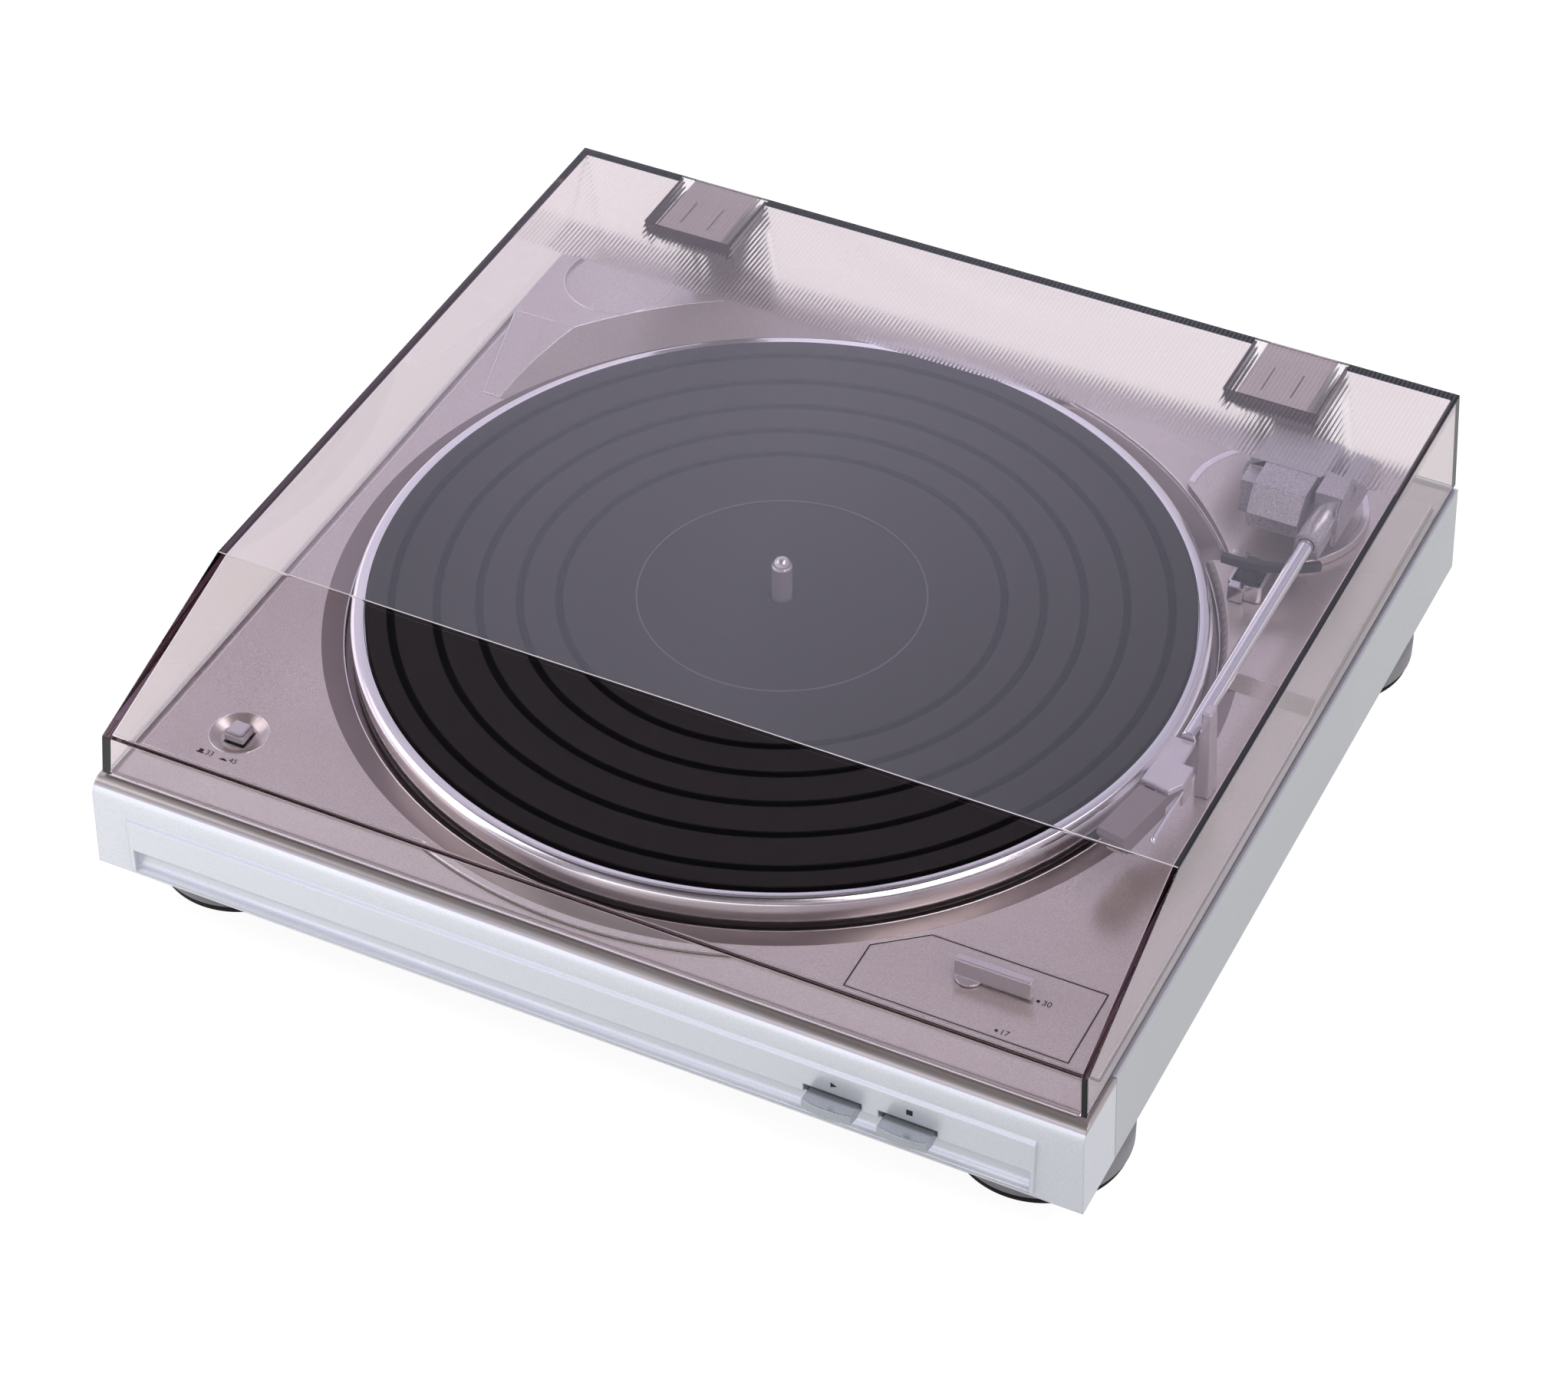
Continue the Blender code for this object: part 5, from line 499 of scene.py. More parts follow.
def bevelled(made, width, by_weight=False, segments=2, angle=30):
    """Rounds a piece's edges: those over the angle, or those that carry a bevel weight."""
    bevel = made.modifiers.new("edge", "BEVEL")
    bevel.width = width
    bevel.segments = segments
    bevel.limit_method = "WEIGHT" if by_weight else "ANGLE"
    bevel.angle_limit = math.radians(angle)
    bevel.use_clamp_overlap = not by_weight
    bevel.harden_normals = True
    return made


MERGED, FLAT_ANGLE = 0.002 * MM, 0.04   # corners this near, and neighbours this flat, are joined
BROAD, SQUARE = 100 * MM ** 2, 0.99999  # larger faces that lie square to the axes look flat


def softened(node, name, material, body, edge, reach=0, sharp=30, segments=2):
    """Copies a CAD node, merges its corners, joins its flat neighbours, and rounds the edges that
    are longer than reach by a bevel of the given width. Broad faces that lie square to the axes
    are shaded as flat, so that no rim throws a false shade on them."""
    form = bmesh.new()
    form.from_mesh(nodes[node].data)
    bmesh.ops.remove_doubles(form, verts=form.verts, dist=MERGED)
    bmesh.ops.dissolve_limit(
        form, angle_limit=math.radians(FLAT_ANGLE), verts=form.verts, edges=form.edges
    )
    weight = form.edges.layers.float.new("bevel_weight_edge")
    for side in form.edges:
        if side.calc_length() >= reach and side.calc_face_angle(0) > math.radians(sharp):
            side[weight] = 1.0
    mesh = bpy.data.meshes.new(name)
    form.to_mesh(mesh)
    form.free()
    made = settle(name, mesh, material, body, (node,), sharp)
    count = len(mesh.polygons)
    area, normal = np.zeros(count, np.float32), np.zeros(3 * count, np.float32)
    mesh.polygons.foreach_get("area", area)
    mesh.polygons.foreach_get("normal", normal)
    square = np.abs(normal.reshape(-1, 3)).max(1) > SQUARE
    mesh.polygons.foreach_set("use_smooth", ~(square & (area > BROAD)))
    return bevelled(made, edge, True, segments) if edge else made


def corner(centre, radius, start, stop, count=6):
    """Rows of (radius, height) round a quarter corner of a turned profile."""
    a = np.radians(np.linspace(start, stop, count))
    return np.stack([centre[0] + radius * np.cos(a), centre[1] + radius * np.sin(a)], -1).tolist()


# Plinth

softened("cabinet", "plinth_cabinet", silver, "chassis", 0, sharp=8)
softened("bottom_cover", "bottom_tray", black_abs_and_slot_shade, "chassis", 0)

EDGE_RADIUS, JOINT_RADIUS = 0.35 * MM, 0.2 * MM


def rolled_edge(name, line, radius=EDGE_RADIUS, material=edge_highlight_paint):
    """The rounded edge of the moulding, as a rod: a circle carried along a line of points, given
    in millimetres, where a point at angle a is centre + radius * (cos a * side + sin a * up), side
    = along x Z, up = side x along. Its default, lighter paint is a painted highlight; with black
    ink it is painted shadow in a joint."""
    way = MM * np.asarray(line, float)
    along = np.gradient(way, axis=0)
    along /= np.linalg.norm(along, axis=1, keepdims=True)
    side = np.cross(along, (0, 0, 1))
    side /= np.linalg.norm(side, axis=1, keepdims=True)
    up = np.cross(side, along)
    a = (np.arange(12) * TURN / 12)[None, :, None]
    rings = way[:, None] + radius * (np.cos(a) * side[:, None] + np.sin(a) * up[:, None])
    return carried(name, rings, material, "chassis", (), 60)


PLATTER_AXIS = (-7.7, 3.1)      # in millimetres, as are all the edges and joints here


def arc_line(radius, start, stop, height, count, centre=PLATTER_AXIS):
    """Points of a circle at one height, between two angles in degrees: centre + radius *
    (cos a, sin a)."""
    a = np.radians(np.linspace(start, stop, count))
    return np.stack([
        centre[0] + radius * np.cos(a), centre[1] + radius * np.sin(a), np.full(count, height)
    ], -1)


DECK_EDGE, BLOCK_EDGE, PLATFORM_EDGE = 57.25, 61.25, 59.25     # heights of the lines
SIDE, FRONT = 172.05, -147.25
BULGE_LEFT, BULGE_RIGHT = -110.8, -69.2     # degrees between which the deck bulges to the front
RECESS, DISH = (-145.9, 146.1), (-145.6, -128.8)
RAMP_FOOT, BLOCK_FRONT = 67.9, 112.7
PLATFORM_FRONT = 42.35

# The cone round the platter widens by 19.1 mm as it climbs 4 mm, and the ramp's inner edge is
# where the ramp meets it: x = axis - sqrt(r * r - (y - axis) ** 2)
ramp_y = np.linspace(RAMP_FOOT, BLOCK_FRONT, 12)
ramp_z = np.linspace(57.9, 61.5, 12)
cone_r = 158.4 + (ramp_z - 57.5) * 19.1 / 4
cone_x = PLATTER_AXIS[0] - np.sqrt(cone_r ** 2 - (ramp_y - PLATTER_AXIS[1]) ** 2)
# Rods of lighter paint on the deck's, block's, ramp's and platform's edges: rounded edges, with a
# painted highlight
for name, line in (
    ("deck_edge_left", [(-SIDE, FRONT - 0.05, DECK_EDGE), (-SIDE, BLOCK_FRONT, DECK_EDGE)]),
    ("deck_edge_right", [(SIDE, FRONT - 0.05, DECK_EDGE), (SIDE, 35.1, DECK_EDGE)]),
    ("deck_edge_front_left", [(-SIDE, FRONT, DECK_EDGE), (-64.7, FRONT, DECK_EDGE)]),
    ("deck_edge_front_right", [(49.3, FRONT, DECK_EDGE), (SIDE, FRONT, DECK_EDGE)]),
    ("deck_edge_front_arc", arc_line(160.75, BULGE_LEFT, BULGE_RIGHT, DECK_EDGE, 40)),
    ("ring_edge", arc_line(150.8, 0, 360, 56.1, 240)),
    ("block_edge_left", [(-SIDE, BLOCK_FRONT, BLOCK_EDGE), (-SIDE, 159.2, BLOCK_EDGE)]),
    ("block_edge_front", [
        (-SIDE, BLOCK_FRONT + 0.1, BLOCK_EDGE), (-147.4, BLOCK_FRONT + 0.1, BLOCK_EDGE),
    ]),
    ("block_edge_round", arc_line(177.7, 141.9, 118.3, BLOCK_EDGE, 24)),
    ("recess_edge", arc_line(20.7, -220, 40, BLOCK_EDGE, 60, RECESS)),
    ("dish_edge", arc_line(10.2, 0, 360, DECK_EDGE, 64, DISH)),
    ("ramp_edge_left", [(-161.3, 67.95, 57.7), (-171.95, BLOCK_FRONT, BLOCK_EDGE)]),
    ("ramp_edge_front", [(-161.4, 68.05, 57.7), (-154.3, 68.05, 57.7)]),
    ("ramp_edge_round", np.stack([cone_x - 0.15, ramp_y, ramp_z - 0.25], -1)),
    ("platform_edge_front", [
        (141.0, PLATFORM_FRONT, PLATFORM_EDGE), (SIDE, PLATFORM_FRONT, PLATFORM_EDGE),
    ]),
    ("platform_edge_right", [
        (SIDE, PLATFORM_FRONT - 0.15, PLATFORM_EDGE), (SIDE, 157.2, PLATFORM_EDGE),
    ]),
    ("platform_edge_round", arc_line(158.65, 38.7, 76.9, PLATFORM_EDGE, 40)),
):
    rolled_edge(name, line)

# Painted shadow: thin black rods in the joint round the deck's foot and round the size panel
# stand in for the shade in its depth
FOOT_SIDE, FOOT_FRONT, FOOT_Z = 172.6, -147.75, 56.15
for name, line in (
    ("deck_joint_left", [(-FOOT_SIDE, -147.7, FOOT_Z), (-FOOT_SIDE, BLOCK_FRONT, FOOT_Z)]),
    ("deck_joint_right", [(FOOT_SIDE, -147.7, FOOT_Z), (FOOT_SIDE, 159, FOOT_Z)]),
    ("deck_joint_front_left", [(-FOOT_SIDE, FOOT_FRONT, FOOT_Z), (-65, FOOT_FRONT, FOOT_Z)]),
    ("deck_joint_front_right", [(49.6, FOOT_FRONT, FOOT_Z), (FOOT_SIDE, FOOT_FRONT, FOOT_Z)]),
    ("deck_joint_front_arc", arc_line(161.2, BULGE_LEFT, BULGE_RIGHT, FOOT_Z, 40)),
):
    rolled_edge(name, line, JOINT_RADIUS, ink_and_joint_shadow)
PANEL_Z = 57.4
panel_corners = [
    (86.65, -146.15), (163.35, -146.15), (163.35, -113.85), (102.6, -113.85), (86.65, -126.5),
]
for which, start, stop in zip(
    ("front", "right", "rear", "corner", "left"), panel_corners, panel_corners[1:] + panel_corners,
):
    rolled_edge(f"size_joint_{which}", [(*start, PANEL_Z), (*stop, PANEL_Z)], JOINT_RADIUS, ink_and_joint_shadow)

BASE_Z, LEDGE_Z, UNDER_LEDGE_Z = 19.5 * MM, 56.1 * MM, 53.6 * MM
HALF_WIDTH, INNER_HALF_WIDTH = 180 * MM, 176.18 * MM
WALL_DRAFT = 1.318 * MM         # how far the side walls lean in up to the ledge
FACE_Y = -169.5 * MM            # the panel's flat face
PANEL_WALL, STRIP_DEPTH = 5 * MM, 8.8 * MM
RETURN_Y = -144.1 * MM
BAND_X = (-166 * MM, 163.5 * MM)
COVE_X = (-164.5 * MM, 162 * MM)
BAND_PROUD = 1 * MM
COVE_LOW, COVE_HIGH, COVE_DEPTH = 21.6 * MM, 31.5 * MM, 3.2 * MM
FACET_LOW, BAND_TOP = 43.8 * MM, 45.2 * MM
BEVEL_LOW, BEVEL_IN = 51.1 * MM, 2.4 * MM
ROLL_RADIUS, ROLL_ROWS = 4 * MM, 9
HOLE_LOW, HOLE_HIGH = 29.2 * MM, 34.8 * MM
HOLES_X = ((84.15 * MM, 104.45 * MM), (110.25 * MM, 130.55 * MM))
BELOW_HOLE, ABOVE_HOLE = 10, 5  # rows of the cove up to a key's hole and from there on


def bezel_sections():
    """The front panel's closed section, carried from one return round the front to the other.
    Rows: the outer face from bottom to top, the strip on top, then the inner face back down. The
    bevel runs into the top by a roll: y = centre + R * cos t, z = centre + R * sin t. The
    face stands proud over the band, and over the cove it goes in by the depth of a circle:
    sqrt(R * R - (z - middle) ** 2) less its value at the cove's edge. Also gives the cells that
    the keys' holes leave open and the faces that close the holes' sides."""
    arc = np.concatenate([
        np.linspace(COVE_LOW, HOLE_LOW, BELOW_HOLE),
        np.linspace(HOLE_LOW, COVE_HIGH, ABOVE_HOLE)[1:],
    ])
    middle, half = (COVE_LOW + COVE_HIGH) / 2, (COVE_HIGH - COVE_LOW) / 2
    bow = (half ** 2 + COVE_DEPTH ** 2) / (2 * COVE_DEPTH)
    dip = np.sqrt(bow ** 2 - (arc - middle) ** 2) - np.sqrt(bow ** 2 - half ** 2)
    slope = math.atan2(LEDGE_Z - BEVEL_LOW, BEVEL_IN)
    roll = np.linspace(math.pi / 2 + slope, math.pi / 2, ROLL_ROWS)
    roll_y = BEVEL_IN + ROLL_RADIUS * math.tan(slope / 2) + ROLL_RADIUS * np.cos(roll)
    roll_z = LEDGE_Z - ROLL_RADIUS + ROLL_RADIUS * np.sin(roll)
    height = np.concatenate([
        [BASE_Z, COVE_LOW], arc, [HOLE_HIGH, FACET_LOW, BAND_TOP, BEVEL_LOW], roll_z,
        [LEDGE_Z, UNDER_LEDGE_Z, UNDER_LEDGE_Z, HOLE_HIGH, HOLE_LOW, BASE_Z],
    ])
    rows = len(height)
    first, last = 2, 2 + len(arc) - 1
    top = last + 4 + ROLL_ROWS              # the last row of the roll
    ahead = np.zeros(rows)
    ahead[last + 5:top + 1] = roll_y
    ahead[top + 1:top + 3] = STRIP_DEPTH
    ahead[top + 3:] = PANEL_WALL
    side = HALF_WIDTH - WALL_DRAFT * (height - BASE_Z) / (LEDGE_Z - BASE_Z)
    across = np.where(np.arange(rows) > top, INNER_HALF_WIDTH, side)
    band = np.zeros(rows)
    band[first:last + 3] = -BAND_PROUD
    cove = band.copy()
    cove[first:last + 1] += dip
    flat = np.zeros(rows)
    stops = [
        (BAND_X[0], flat), (BAND_X[0], band), (COVE_X[0], band), (COVE_X[0], cove),
        (HOLES_X[0][0], cove), (HOLES_X[0][1], cove), (HOLES_X[1][0], cove), (HOLES_X[1][1], cove),
        (COVE_X[1], cove), (COVE_X[1], band), (BAND_X[1], band), (BAND_X[1], flat),
    ]
    sections = [np.stack([-across, np.full(rows, RETURN_Y), height], -1),
                np.stack([-across, FACE_Y + ahead, height], -1)]
    sections += [
        np.stack([np.full(rows, x), FACE_Y + ahead + shape, height], -1) for x, shape in stops
    ]
    sections += [np.stack([across, FACE_Y + ahead, height], -1),
                 np.stack([across, np.full(rows, RETURN_Y), height], -1)]
    holes = np.zeros((len(sections) - 1, rows), bool)
    outer = (first + BELOW_HOLE - 1, last + 1)  # rows of a hole's bottom and top, outside
    inner = (top + 4, top + 5)                  # its top and bottom, inside
    jambs = []
    for k in (6, 8):                            # the cells between the stops of HOLES_X
        holes[k, outer[0]:outer[1]] = True
        holes[k, inner[0]] = True
        a, b = k * rows, (k + 1) * rows
        jambs.append((a + outer[1], b + outer[1], b + inner[0], a + inner[0]))
        jambs.append((a + outer[0], b + outer[0], b + inner[1], a + inner[1]))
        for base in (a, b):
            edge = list(range(base + outer[0], base + outer[1] + 1))
            jambs.append(edge + [base + inner[0], base + inner[1]])
    return sections, holes, jambs


sections, holes, jambs = bezel_sections()
bevelled(carried("front_bezel", sections, panel_silver, "chassis",
                 ("front_panel",), 30, holes, jambs), 0.3 * MM)

BELL_NECK, BELL_HIGH = 24 * MM, 8.5 * MM
BELL_ROUND, BELL_SHOULDER = 0.6 * MM, 1.5 * MM
TREAD, TREAD_ROUND, TREAD_HOLLOW = 5 * MM, 1 * MM, 0.5 * MM
FOOT_FACETS = 96
for end in ("front", "rear"):
    for side in ("left", "right"):
        low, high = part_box(f"foot_{end}_{side}")
        middle = ((low[0] + high[0]) / 2, (low[1] + high[1]) / 2)
        outer = (high[0] - low[0]) / 2
        rim = low[2] + BELL_HIGH
        turned(f"foot_bell_{end}_{side}", [
            (0, low[2]), (outer - BELL_ROUND, low[2]),
            *corner((outer - BELL_ROUND, low[2] + BELL_ROUND), BELL_ROUND, -90, 0),
            *corner((outer - BELL_SHOULDER, rim - BELL_SHOULDER), BELL_SHOULDER, 0, 60),
            (BELL_NECK + 1 * MM, rim + 3.4 * MM), (BELL_NECK, rim + 4.4 * MM),
            (BELL_NECK, high[2]), (0, high[2]),
        ], middle, grey_abs, "chassis", (f"foot_{end}_{side}",), FOOT_FACETS)
        low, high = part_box(f"foot_pad_{end}_{side}")
        outer = (high[0] - low[0]) / 2
        inner = outer - TREAD
        turned(f"foot_ring_{end}_{side}", [
            (0, low[2] + TREAD_HOLLOW), (inner - 1 * MM, low[2] + TREAD_HOLLOW), (inner, low[2]),
            *corner((outer - TREAD_ROUND, low[2] + TREAD_ROUND), TREAD_ROUND, -90, 0),
            (outer, high[2]), (0, high[2]),
        ], middle, foot_rubber, "chassis", (f"foot_pad_{end}_{side}",), FOOT_FACETS)


# Platter, mat and spindle

PLATTER_MIDDLE = (PLATTER_X, PLATTER_Y)
# Rows of (radius, height) in millimetres: the hub, the web with the belt's ring, the rim
turned("platter_casting", MM * np.array([
    (3.9, 44.5), (6, 44.5), (6, 49.4), (10, 49.4), (10, 61.5),
    (92, 61.5), (92, 54.6), (95, 54.6), (95, 61.5), (143.5, 61.5),
    (143.5, 55), (147.6, 55), (148, 55.4), (148, 64.7), (147.85, 64.95), (147.6, 65.2),
    (146.6, 66.35), (146.2, 66.5), (143.4, 66.5), (143.2, 66.3), (143.2, 64.5), (3.9, 64.5),
]), PLATTER_MIDDLE, platter_metal, "platter_group", ("platter",), 360)

MAT_RADIUS, MAT_ROUND = 142.9 * MM, 1.2 * MM
MAT_HOLE, MAT_LOW = 4.2 * MM, 64.8 * MM
LABEL_RADIUS, LABEL_SUNK = 50 * MM, 0.4 * MM
GROOVES = (134, 118.5, 104, 90, 76.5)       # their radii in millimetres
GROOVE_WIDTH, GROOVE_DEPTH = 3.2 * MM, 0.7 * MM
# A groove's row at angle t is (middle + width / 2 * sin t, top - depth * cos t ** 1.5)
mat_rows = [(MAT_HOLE, MAT_LOW), (MAT_RADIUS, MAT_LOW)]
mat_rows += corner((MAT_RADIUS - MAT_ROUND, MAT_Z - MAT_ROUND), MAT_ROUND, 0, 90)
bend = np.linspace(math.pi / 2, -math.pi / 2, 9)
for radius in GROOVES:
    mat_rows += np.stack([
        radius * MM + GROOVE_WIDTH / 2 * np.sin(bend),
        MAT_Z - GROOVE_DEPTH * np.cos(bend) ** 1.5,
    ], -1).tolist()
mat_rows += [
    (LABEL_RADIUS + 0.5 * MM, MAT_Z), (LABEL_RADIUS, MAT_Z - LABEL_SUNK),
    (MAT_HOLE + LABEL_SUNK, MAT_Z - LABEL_SUNK), (MAT_HOLE, MAT_Z - 2 * LABEL_SUNK),
]
turned("slip_mat", mat_rows, PLATTER_MIDDLE, mat_rubber, "platter_group",
       ("platter_mat",), 288)

turned("mat_label_line", MM * np.array([
    (49.75, 67.9), (50.35, 67.9), (50.35, 68.0), (50.15, 68.08), (49.95, 68.08), (49.75, 68.0),
]), PLATTER_MIDDLE, line_rubber, "platter_group", (), 288)

PIN, PIN_NECK, PIN_TIP = 3.6 * MM, 3.35 * MM, 3.1 * MM
FLANGE, FLANGE_LOW, FLANGE_HIGH = 8 * MM, 39.7 * MM, 41.7 * MM
TIP_Z = 83.9 * MM
turned("centre_spindle", [
    (0, FLANGE_LOW), (FLANGE, FLANGE_LOW), (FLANGE, FLANGE_HIGH), (PIN, FLANGE_HIGH),
    (PIN, TIP_Z - 3.4 * MM), (PIN_NECK, TIP_Z - 3.1 * MM), (PIN_NECK, TIP_Z - 2.9 * MM),
    *corner((0, TIP_Z - PIN_TIP), PIN_TIP, 5, 90, 12),
], PLATTER_MIDDLE, spindle_metal, "chassis", ("spindle",), 64)


# Tonearm

softened("arm_base", "arm_base_disc", silver, "chassis", 0.4 * MM, 3 * MM)
softened("arm_yoke", "arm_turret", casting, "arm_turning_part", 0.35 * MM, 3 * MM)
softened("arm_pivot_block", "arm_carrier", casting, "arm_tilting_part", 0.35 * MM, 4 * MM)
softened("counterweight", "arm_weight", casting, "arm_tilting_part", 0.6 * MM)
softened("headshell", "head_shell", shell_paint, "arm_tilting_part", 0.3 * MM)
softened("cartridge", "cartridge_body", cartridge_abs, "arm_tilting_part", 0.3 * MM)
softened("stylus", "stylus_holder", guard_abs, "arm_tilting_part", 0.2 * MM)
softened("arm_rest", "arm_rest_post", shell_paint, "chassis", 0.4 * MM, 1 * MM)
softened("lifter_guide", "lifter_channel", satin_metal, "chassis", 0.25 * MM)
softened("lifter_bar", "lifter_arc", black_abs_and_slot_shade, "lifter", 0.4 * MM, 1 * MM)

# The raised rim of the arm's disc, in the lighter paint of a painted highlight: rows of
# (radius, height), turned from -98 to 184 degrees
ARM_X, ARM_Y = 125.9 * MM, 129.04 * MM
rim = MM * np.array([(30.1, 62.5), (32.95, 62.5), (32.95, 62.6), (32.7, 62.85), (30.1, 62.85)])
a = np.radians(np.linspace(-98, 184, 120))[:, None]
carried("arm_base_rim", np.stack([
    ARM_X + rim[:, 0] * np.cos(a), ARM_Y + rim[:, 0] * np.sin(a), rim[:, 1] + 0 * a,
], -1), edge_highlight_paint, "chassis")

TUBE_X, TUBE_Z = 150 * MM, 81.5 * MM
TUBE_RADIUS, TUBE_ROUND = 2.75 * MM, 0.3 * MM


def ring_section(centre, radius, count=48):
    """A circle about a line along Y: (cx + r cos a, y, cz + r sin a)."""
    a = np.arange(count) * TURN / count
    return np.stack([
        centre[0] + radius * np.cos(a), np.full(count, centre[1]), centre[2] + radius * np.sin(a)
    ], -1)


low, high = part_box("arm_tube")
carried("arm_wand", [
    ring_section((TUBE_X, y, TUBE_Z), radius) for y, radius in (
        (low[1], TUBE_RADIUS - TUBE_ROUND), (low[1] + TUBE_ROUND, TUBE_RADIUS),
        (high[1] - TUBE_ROUND, TUBE_RADIUS), (high[1], TUBE_RADIUS - TUBE_ROUND),
    )
], chrome, "arm_tilting_part", ("arm_tube",))

# The finger lift is a rod with a ball at its front: the ball's ring at angle t has the radius
# ball * cos t and lies ball * sin t behind the ball's middle
low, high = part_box("finger_lift")
finger_x, finger_z = (low[0] + high[0]) / 2, (low[2] + high[2]) / 2
BALL, FINGER_ROD, BALL_POLE = 1.1 * MM, 0.7 * MM, 0.02 * MM
ROD_MEETS = 0.7     # radians short of the ball's rear pole where the rod comes out of it
ball_y = low[1] + BALL
rings = [
    (ball_y + BALL * math.sin(t), max(BALL * math.cos(t), BALL_POLE))
    for t in np.linspace(-math.pi / 2, math.pi / 2 - ROD_MEETS, 10)
]
rings += [(y, FINGER_ROD) for y in (ball_y + BALL * 0.8, high[1] - 0.1 * MM, high[1])]
carried("finger_grip", [
    ring_section((finger_x, y, finger_z), radius, 20) for y, radius in rings
], chrome, "arm_tilting_part", ("finger_lift",))


# Controls

softened("size_panel", "size_plate", silver, "chassis", 0.15 * MM, 4 * MM)
softened("size_lever", "size_handle", shell_paint, "size_selector", 0.5 * MM, 3 * MM)
softened("start_key", "start_touch", key_silver, "start_key_group", 0.35 * MM, 3 * MM)
softened("stop_key", "stop_touch", key_silver, "stop_key_group", 0.35 * MM, 3 * MM)
softened("speed_button", "speed_touch", shell_paint, "speed_key", 0.6 * MM, 1 * MM, 30, 3)


# Dust cover and hinges

COVER_LOW, COVER_WALL = 57.15 * MM, 2.6 * MM
COVER_HALF, COVER_DRAFT = 177.38 * MM, 0.07
COVER_OUTER = np.array([
    (-164.6 * MM, COVER_LOW), (-163.5 * MM, 72.95 * MM), (-89.4 * MM, COVER_TOP),
    (174.9 * MM, COVER_TOP), (174.9 * MM, COVER_LOW),
])
COVER_INNER = np.array([
    (172.3 * MM, COVER_LOW), (172.3 * MM, COVER_TOP - COVER_WALL),
    (-88.1 * MM, COVER_TOP - COVER_WALL), (-160.9 * MM, 71.65 * MM), (-162.0 * MM, COVER_LOW),
])
NOTCHES_X = ((-133.1 * MM, -97.3 * MM), (97.3 * MM, 133.1 * MM))


def cover_sections():
    """The cover's closed section, carried from side to side: the outer line over the top from
    front to rear, then the inner line back. In a side wall the inner line lies on the bottom,
    and behind a hinge the rear wall's foot is raised to the underside of the top. The sides lean
    in: half width = low half width - 0.07 * height above the rim."""
    rows = np.concatenate([COVER_OUTER, COVER_INNER])
    solid = rows.copy()
    solid[5:, 1] = COVER_LOW
    notched = rows.copy()
    notched[4:6, 1] = COVER_TOP - COVER_WALL
    lean = COVER_HALF - COVER_DRAFT * (rows[:, 1] - COVER_LOW)
    lean[5:] = COVER_HALF
    inner = COVER_HALF - COVER_WALL - COVER_DRAFT * (rows[:, 1] - COVER_LOW)
    inner[:5] = inner[6]
    edge = inner.copy()
    edge[5:] = COVER_HALF - COVER_WALL
    stops = [(-lean, solid), (-edge, solid), (-inner, rows)]
    for left, right in NOTCHES_X:
        stops += [(left, rows), (left, notched), (right, notched), (right, rows)]
    stops += [(inner, rows), (edge, solid), (lean, solid)]
    return [
        np.stack([np.broadcast_to(x, len(rows)), line[:, 0], line[:, 1]], -1) for x, line in stops
    ]


bevelled(carried("cover_shell", cover_sections(), acrylic, "cover",
                 ("dust_cover",), 12), 0.45 * MM, False, 3, 12)

# Painted highlights: thin pale rods along the fold and the lower front edge, inside and out,
# stand in for their gleam
GLEAM, GLEAM_HALF = 0.2 * MM, 174.2 * MM
gleam = ring_section((0, 0, 0), GLEAM, 8)[:, [1, 0, 2]]
for name, y, z in (
    ("cover_fold_edge", -89.35 * MM, COVER_TOP - GLEAM),
    ("cover_lip_outer", -164.62 * MM, COVER_LOW + GLEAM),
    ("cover_lip_inner", -162.25 * MM, COVER_LOW + GLEAM),
):
    carried(name, [gleam + (x, y, z) for x in (-GLEAM_HALF, GLEAM_HALF)],
            acrylic_edge_highlight, "cover")

HINGE_X = 115.2 * MM
RIB_OFF, RIB_HALF, RIB_DROP = 17.4 * MM, 0.5 * MM, 8.8 * MM
RIB_FRONT, RIB_REAR = 143.9 * MM, 174.5 * MM
RIB_TOP = COVER_TOP - COVER_WALL + 0.05 * MM
CROSS_RIB, CROSS_DROP = 0.9 * MM, 5 * MM
SLOT_OFF, SLOT_HALF, SLOT_DEEP = 5.5 * MM, 0.4 * MM, 0.5 * MM
SLOT_FRONT, SLOT_REAR = 149 * MM, 163 * MM


def block(low, high):
    """The two ends, front and rear, of a box between two corners, as sections of four points."""
    (x0, y0, z0), (x1, y1, z1) = low, high
    return [[(x0, y, z0), (x1, y, z0), (x1, y, z1), (x0, y, z1)] for y in (y0, y1)]


